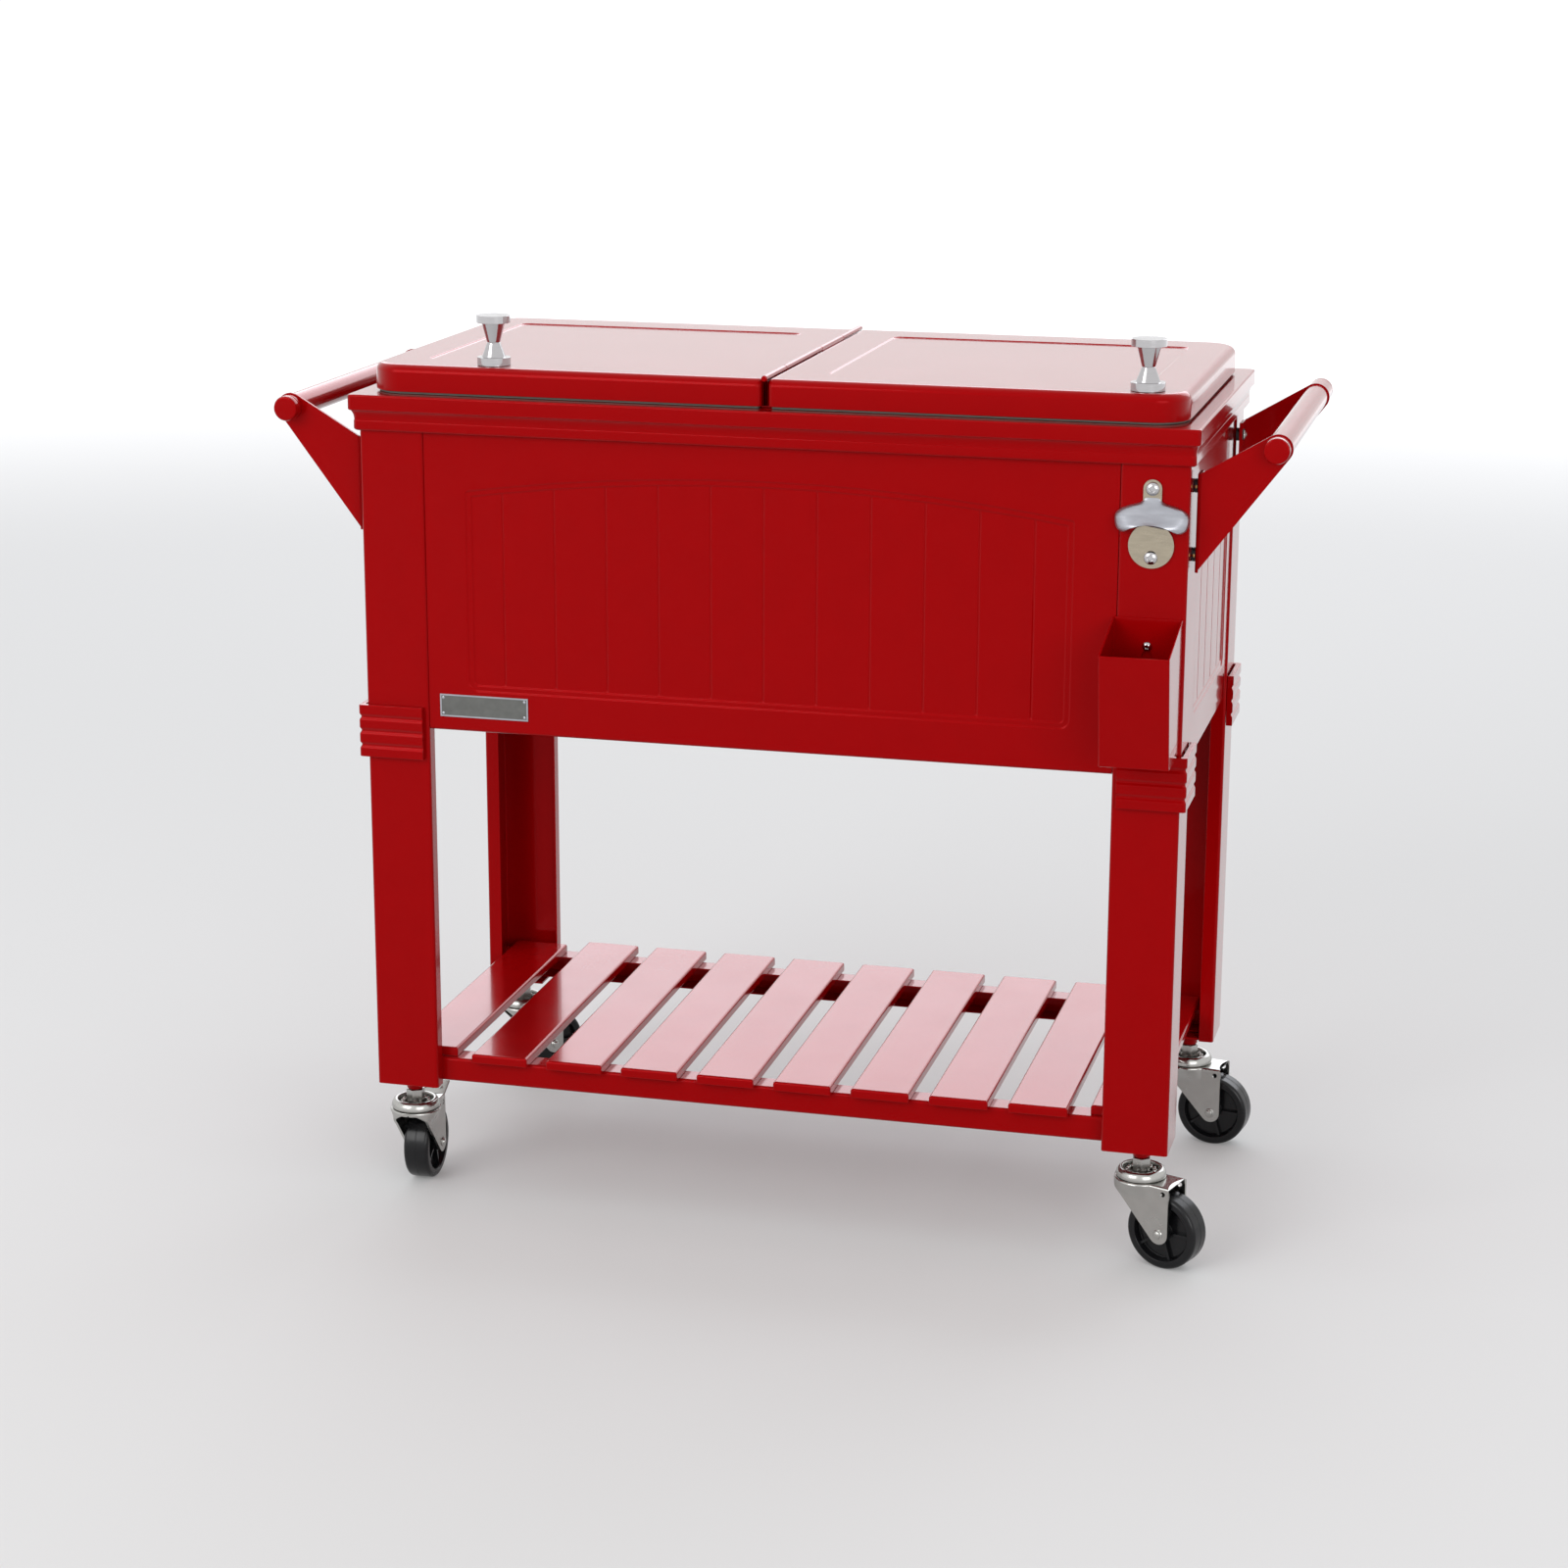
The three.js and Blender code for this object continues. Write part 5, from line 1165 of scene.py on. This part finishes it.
def add_casters():
    stem, wheel, brake = stem_parts(), wheel_forms(), brake_parts()
    channel, extras, hole = fork_parts()
    for corner in CORNERS:
        x, y, _ = middles(f"caster_stem_{corner}")
        wheel_x, wheel_y, _ = middles(f"caster_wheel_{corner}")
        heading = math.atan2(wheel_y - y, wheel_x - x)
        stand = Matrix.Translation((x, y, 0)) @ Matrix.Rotation(heading, 4, "Z")

        def stood(parts):
            return [(material, moved(form, stand)) for material, form in parts]

        stem_node, fork_node, wheel_node, brake_node = (
            f"{kind}_{corner}" for kind in ("caster_stem", "caster_fork", "caster_wheel", "brake_pedal"))
        add_piece(f"plated_{stem_node}", stood(stem), "root", "zinc", [stem_node], edge=0.3)
        swivel, cuts = f"swivel_{corner}", [moved(hole, stand)]
        add_piece(f"plated_{fork_node}", stood([(ZINC, channel)]), swivel, "zinc", [fork_node], cuts=cuts)
        add_piece(f"{corner}_axle", stood(extras), swivel, "zinc", edge=0)
        parts = stood(made_of(WHEEL, wheel))
        add_piece(f"moulded_{wheel_node}", parts, f"wheel_{corner}", "black_wheel", [wheel_node], edge=0.3)
        if brake_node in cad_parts:
            add_piece(f"plated_brake_{corner}", stood(brake), f"brake_{corner}", "zinc", [brake_node])


# The bare plate at the front's lower left corner

PLATE_X = (-324.5, -234.5)
PLATE_Z = (504, 526.5)
PLATE_SHEET = 1
RIVET_INSET = 3.5
PLATE_INSET = 0.6
PLATE_BORDER = [(0, 0), (0.3, -0.3), (1.3, -0.3), (1.7, 0.1)]
PLATE_RIVET = [(0, 0.2), (1.5, 0.2), (1.3, -0.25), (0.7, -0.45), (0, -0.5)]


def add_plate():
    face = PANEL_Y[0] + BORDER_INSET
    front = face - PLATE_SHEET

    def outline(inset, y):
        (x0, x1), (z0, z1) = [(low + inset, high - inset) for low, high in (PLATE_X, PLATE_Z)]
        return [(x0, y, z0), (x1, y, z0), (x1, y, z1), (x0, y, z1)]

    plate = loft([outline(PLATE_INSET, face), outline(PLATE_INSET, front)])
    rows = [(0, face)] + [(inset, front + out) for inset, out in PLATE_BORDER]
    forms = [loft([outline(*row) for row in rows])]
    profile = [(radius, front + out) for radius, out in PLATE_RIVET]
    forms += [turned(profile, "y", (x, z), 20) for x, _, z in outline(RIVET_INSET, 0)]
    # The border and rivets carry the nickel's blue painted sky reflection.
    parts = [(PEWTER, plate)] + made_of(NICKEL_PAINTED_SKY_REFLECTION, forms)
    add_piece("bare_front_plate", parts, "root", "nickel", edge=0)


# Nodes that keep their own shape

def add_carried():
    carried = {"tub": LINER, "insulation": FOAM, "floor_pan": RED, "drain_cap": DARK}
    for node, material in carried.items():
        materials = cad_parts[node].data.materials
        materials.clear()
        materials.append(material)


# Stage, lights and camera

FLOOR_SIZE = 400
FLOOR_ROUGHNESS = 0.9
FLOOR_COLOUR = (0.6, 0.6, 0.6, 1)
FLOOR_BOUNCE = (0.42, 0.42, 0.42, 1)
FLOOR_GLOW = 0.12
FAR_GLOW = 0.6
FADE_START = 3.5
FADE_END = 7.5
WORLD_LIGHT = 0.78
CAMERA_PLACE = (0.784, -3.1813, 1.2779)
CAMERA_YAW = 14.34
CAMERA_PITCH = -14.89
CAMERA_ROLL = 0.0037
CAMERA_LENS = 76.65
SENSOR = 36
WHITE = (1, 1, 1, 1)

# Each lamp's place, the height it aims at, its size, power and tint
LAMPS = {
    "key": ((-2.3, -4.0, 2.5), 0.4, (2.8, 2.4), 78, (1, 1, 1)),
    "fill": ((2.6, -3.6, 1.6), 0.4, (2.4, 2), 40, (1, 1, 1)),
    "sky": ((0, 9, 5.8), 0.6, (14, 6), 520, (0.9, 0.93, 1)),
}


def seen_by(tree, *rays):
    """One where any of these kinds of ray meets the surface, and nought elsewhere."""
    path = add_node(tree, "LightPath")
    found = path.outputs[f"Is {rays[0]} Ray"]
    for ray in rays[1:]:
        feeds = [(0, found), (1, path.outputs[f"Is {ray} Ray"])]
        found = add_node(tree, "Math", feeds=feeds, operation="MAXIMUM").outputs["Value"]
    return found


def add_floor():
    """A wide pale floor, darker to the light it passes on, that fades to white far away."""
    mesh = bpy.data.meshes.new("floor")
    half = FLOOR_SIZE / 2
    corners = [(-half, -half, 0), (half, -half, 0), (half, half, 0), (-half, half, 0)]
    mesh.from_pydata(corners, [], [(0, 1, 2, 3)])
    floor = add_object("floor", mesh)
    material = bpy.data.materials.new("pale_floor")
    material.use_nodes = True
    tree = material.node_tree
    seen = seen_by(tree, "Camera", "Glossy")
    tint = add_node(
        tree, "Mix", [("A", FLOOR_BOUNCE), ("B", FLOOR_COLOUR)], [("Factor", seen)], data_type="RGBA")
    place = add_node(tree, "TexCoord").outputs["Object"]
    distance = add_node(tree, "VectorMath", feeds=[(0, place)], operation="LENGTH").outputs["Value"]
    ends = [("From Min", FADE_START), ("From Max", FADE_END), ("To Min", FLOOR_GLOW), ("To Max", FAR_GLOW)]
    fade = add_node(tree, "MapRange", ends, [("Value", distance)], interpolation_type="SMOOTHSTEP")
    glow = add_node(tree, "Math", feeds=[(0, seen), (1, fade.outputs["Result"])], operation="MULTIPLY")
    values = [("Roughness", FLOOR_ROUGHNESS), ("Specular IOR Level", 0), ("Emission Color", WHITE)]
    feeds = [("Base Color", tint.outputs["Result"]), ("Emission Strength", glow.outputs["Value"])]
    set_up(tree, tree.nodes["Principled BSDF"], values, feeds)
    mesh.materials.append(material)


def add_world():
    world = bpy.data.worlds.new("studio")
    bpy.context.scene.world = world
    world.use_nodes = True
    tree = world.node_tree
    seen = seen_by(tree, "Camera", "Glossy", "Transmission")
    level = add_node(tree, "MapRange", [("To Min", WORLD_LIGHT), ("To Max", 1)], [("Value", seen)])
    set_up(tree, tree.nodes["Background"], [("Color", WHITE)], [("Strength", level.outputs["Result"])])


def add_lamps():
    for name, (place, height, size, power, tint) in LAMPS.items():
        light = bpy.data.lights.new(name, "AREA")
        light.shape = "RECTANGLE"
        light.size, light.size_y = size
        light.energy = power
        light.color = tint
        lamp = add_object(name, light)
        lamp.location = place
        aim = Vector((0, 0, height)) - lamp.location
        lamp.rotation_euler = aim.to_track_quat("-Z", "Y").to_euler()
        lamp.visible_camera = False


def add_camera():
    data = bpy.data.cameras.new("camera")
    data.lens = CAMERA_LENS
    data.sensor_width = SENSOR
    camera = add_object("camera", data)
    turn = Matrix.Rotation(math.radians(CAMERA_YAW), 4, "Z")
    tip = Matrix.Rotation(math.radians(90 + CAMERA_PITCH), 4, "X")
    roll = Matrix.Rotation(CAMERA_ROLL, 4, "Z")
    camera.matrix_world = Matrix.Translation(MIDDLE + Vector(CAMERA_PLACE)) @ turn @ tip @ roll
    bpy.context.scene.camera = camera


add_legs()
add_red("moulded_crown", [crown_form()], "crown_frame", edge=0)
add_panels()
add_lids()
add_shelf()
add_handles()
add_opener()
add_catcher()
add_casters()
add_plate()
add_carried()
add_floor()
add_world()
add_lamps()
add_camera()
bpy.context.scene.view_settings.view_transform = "Standard"
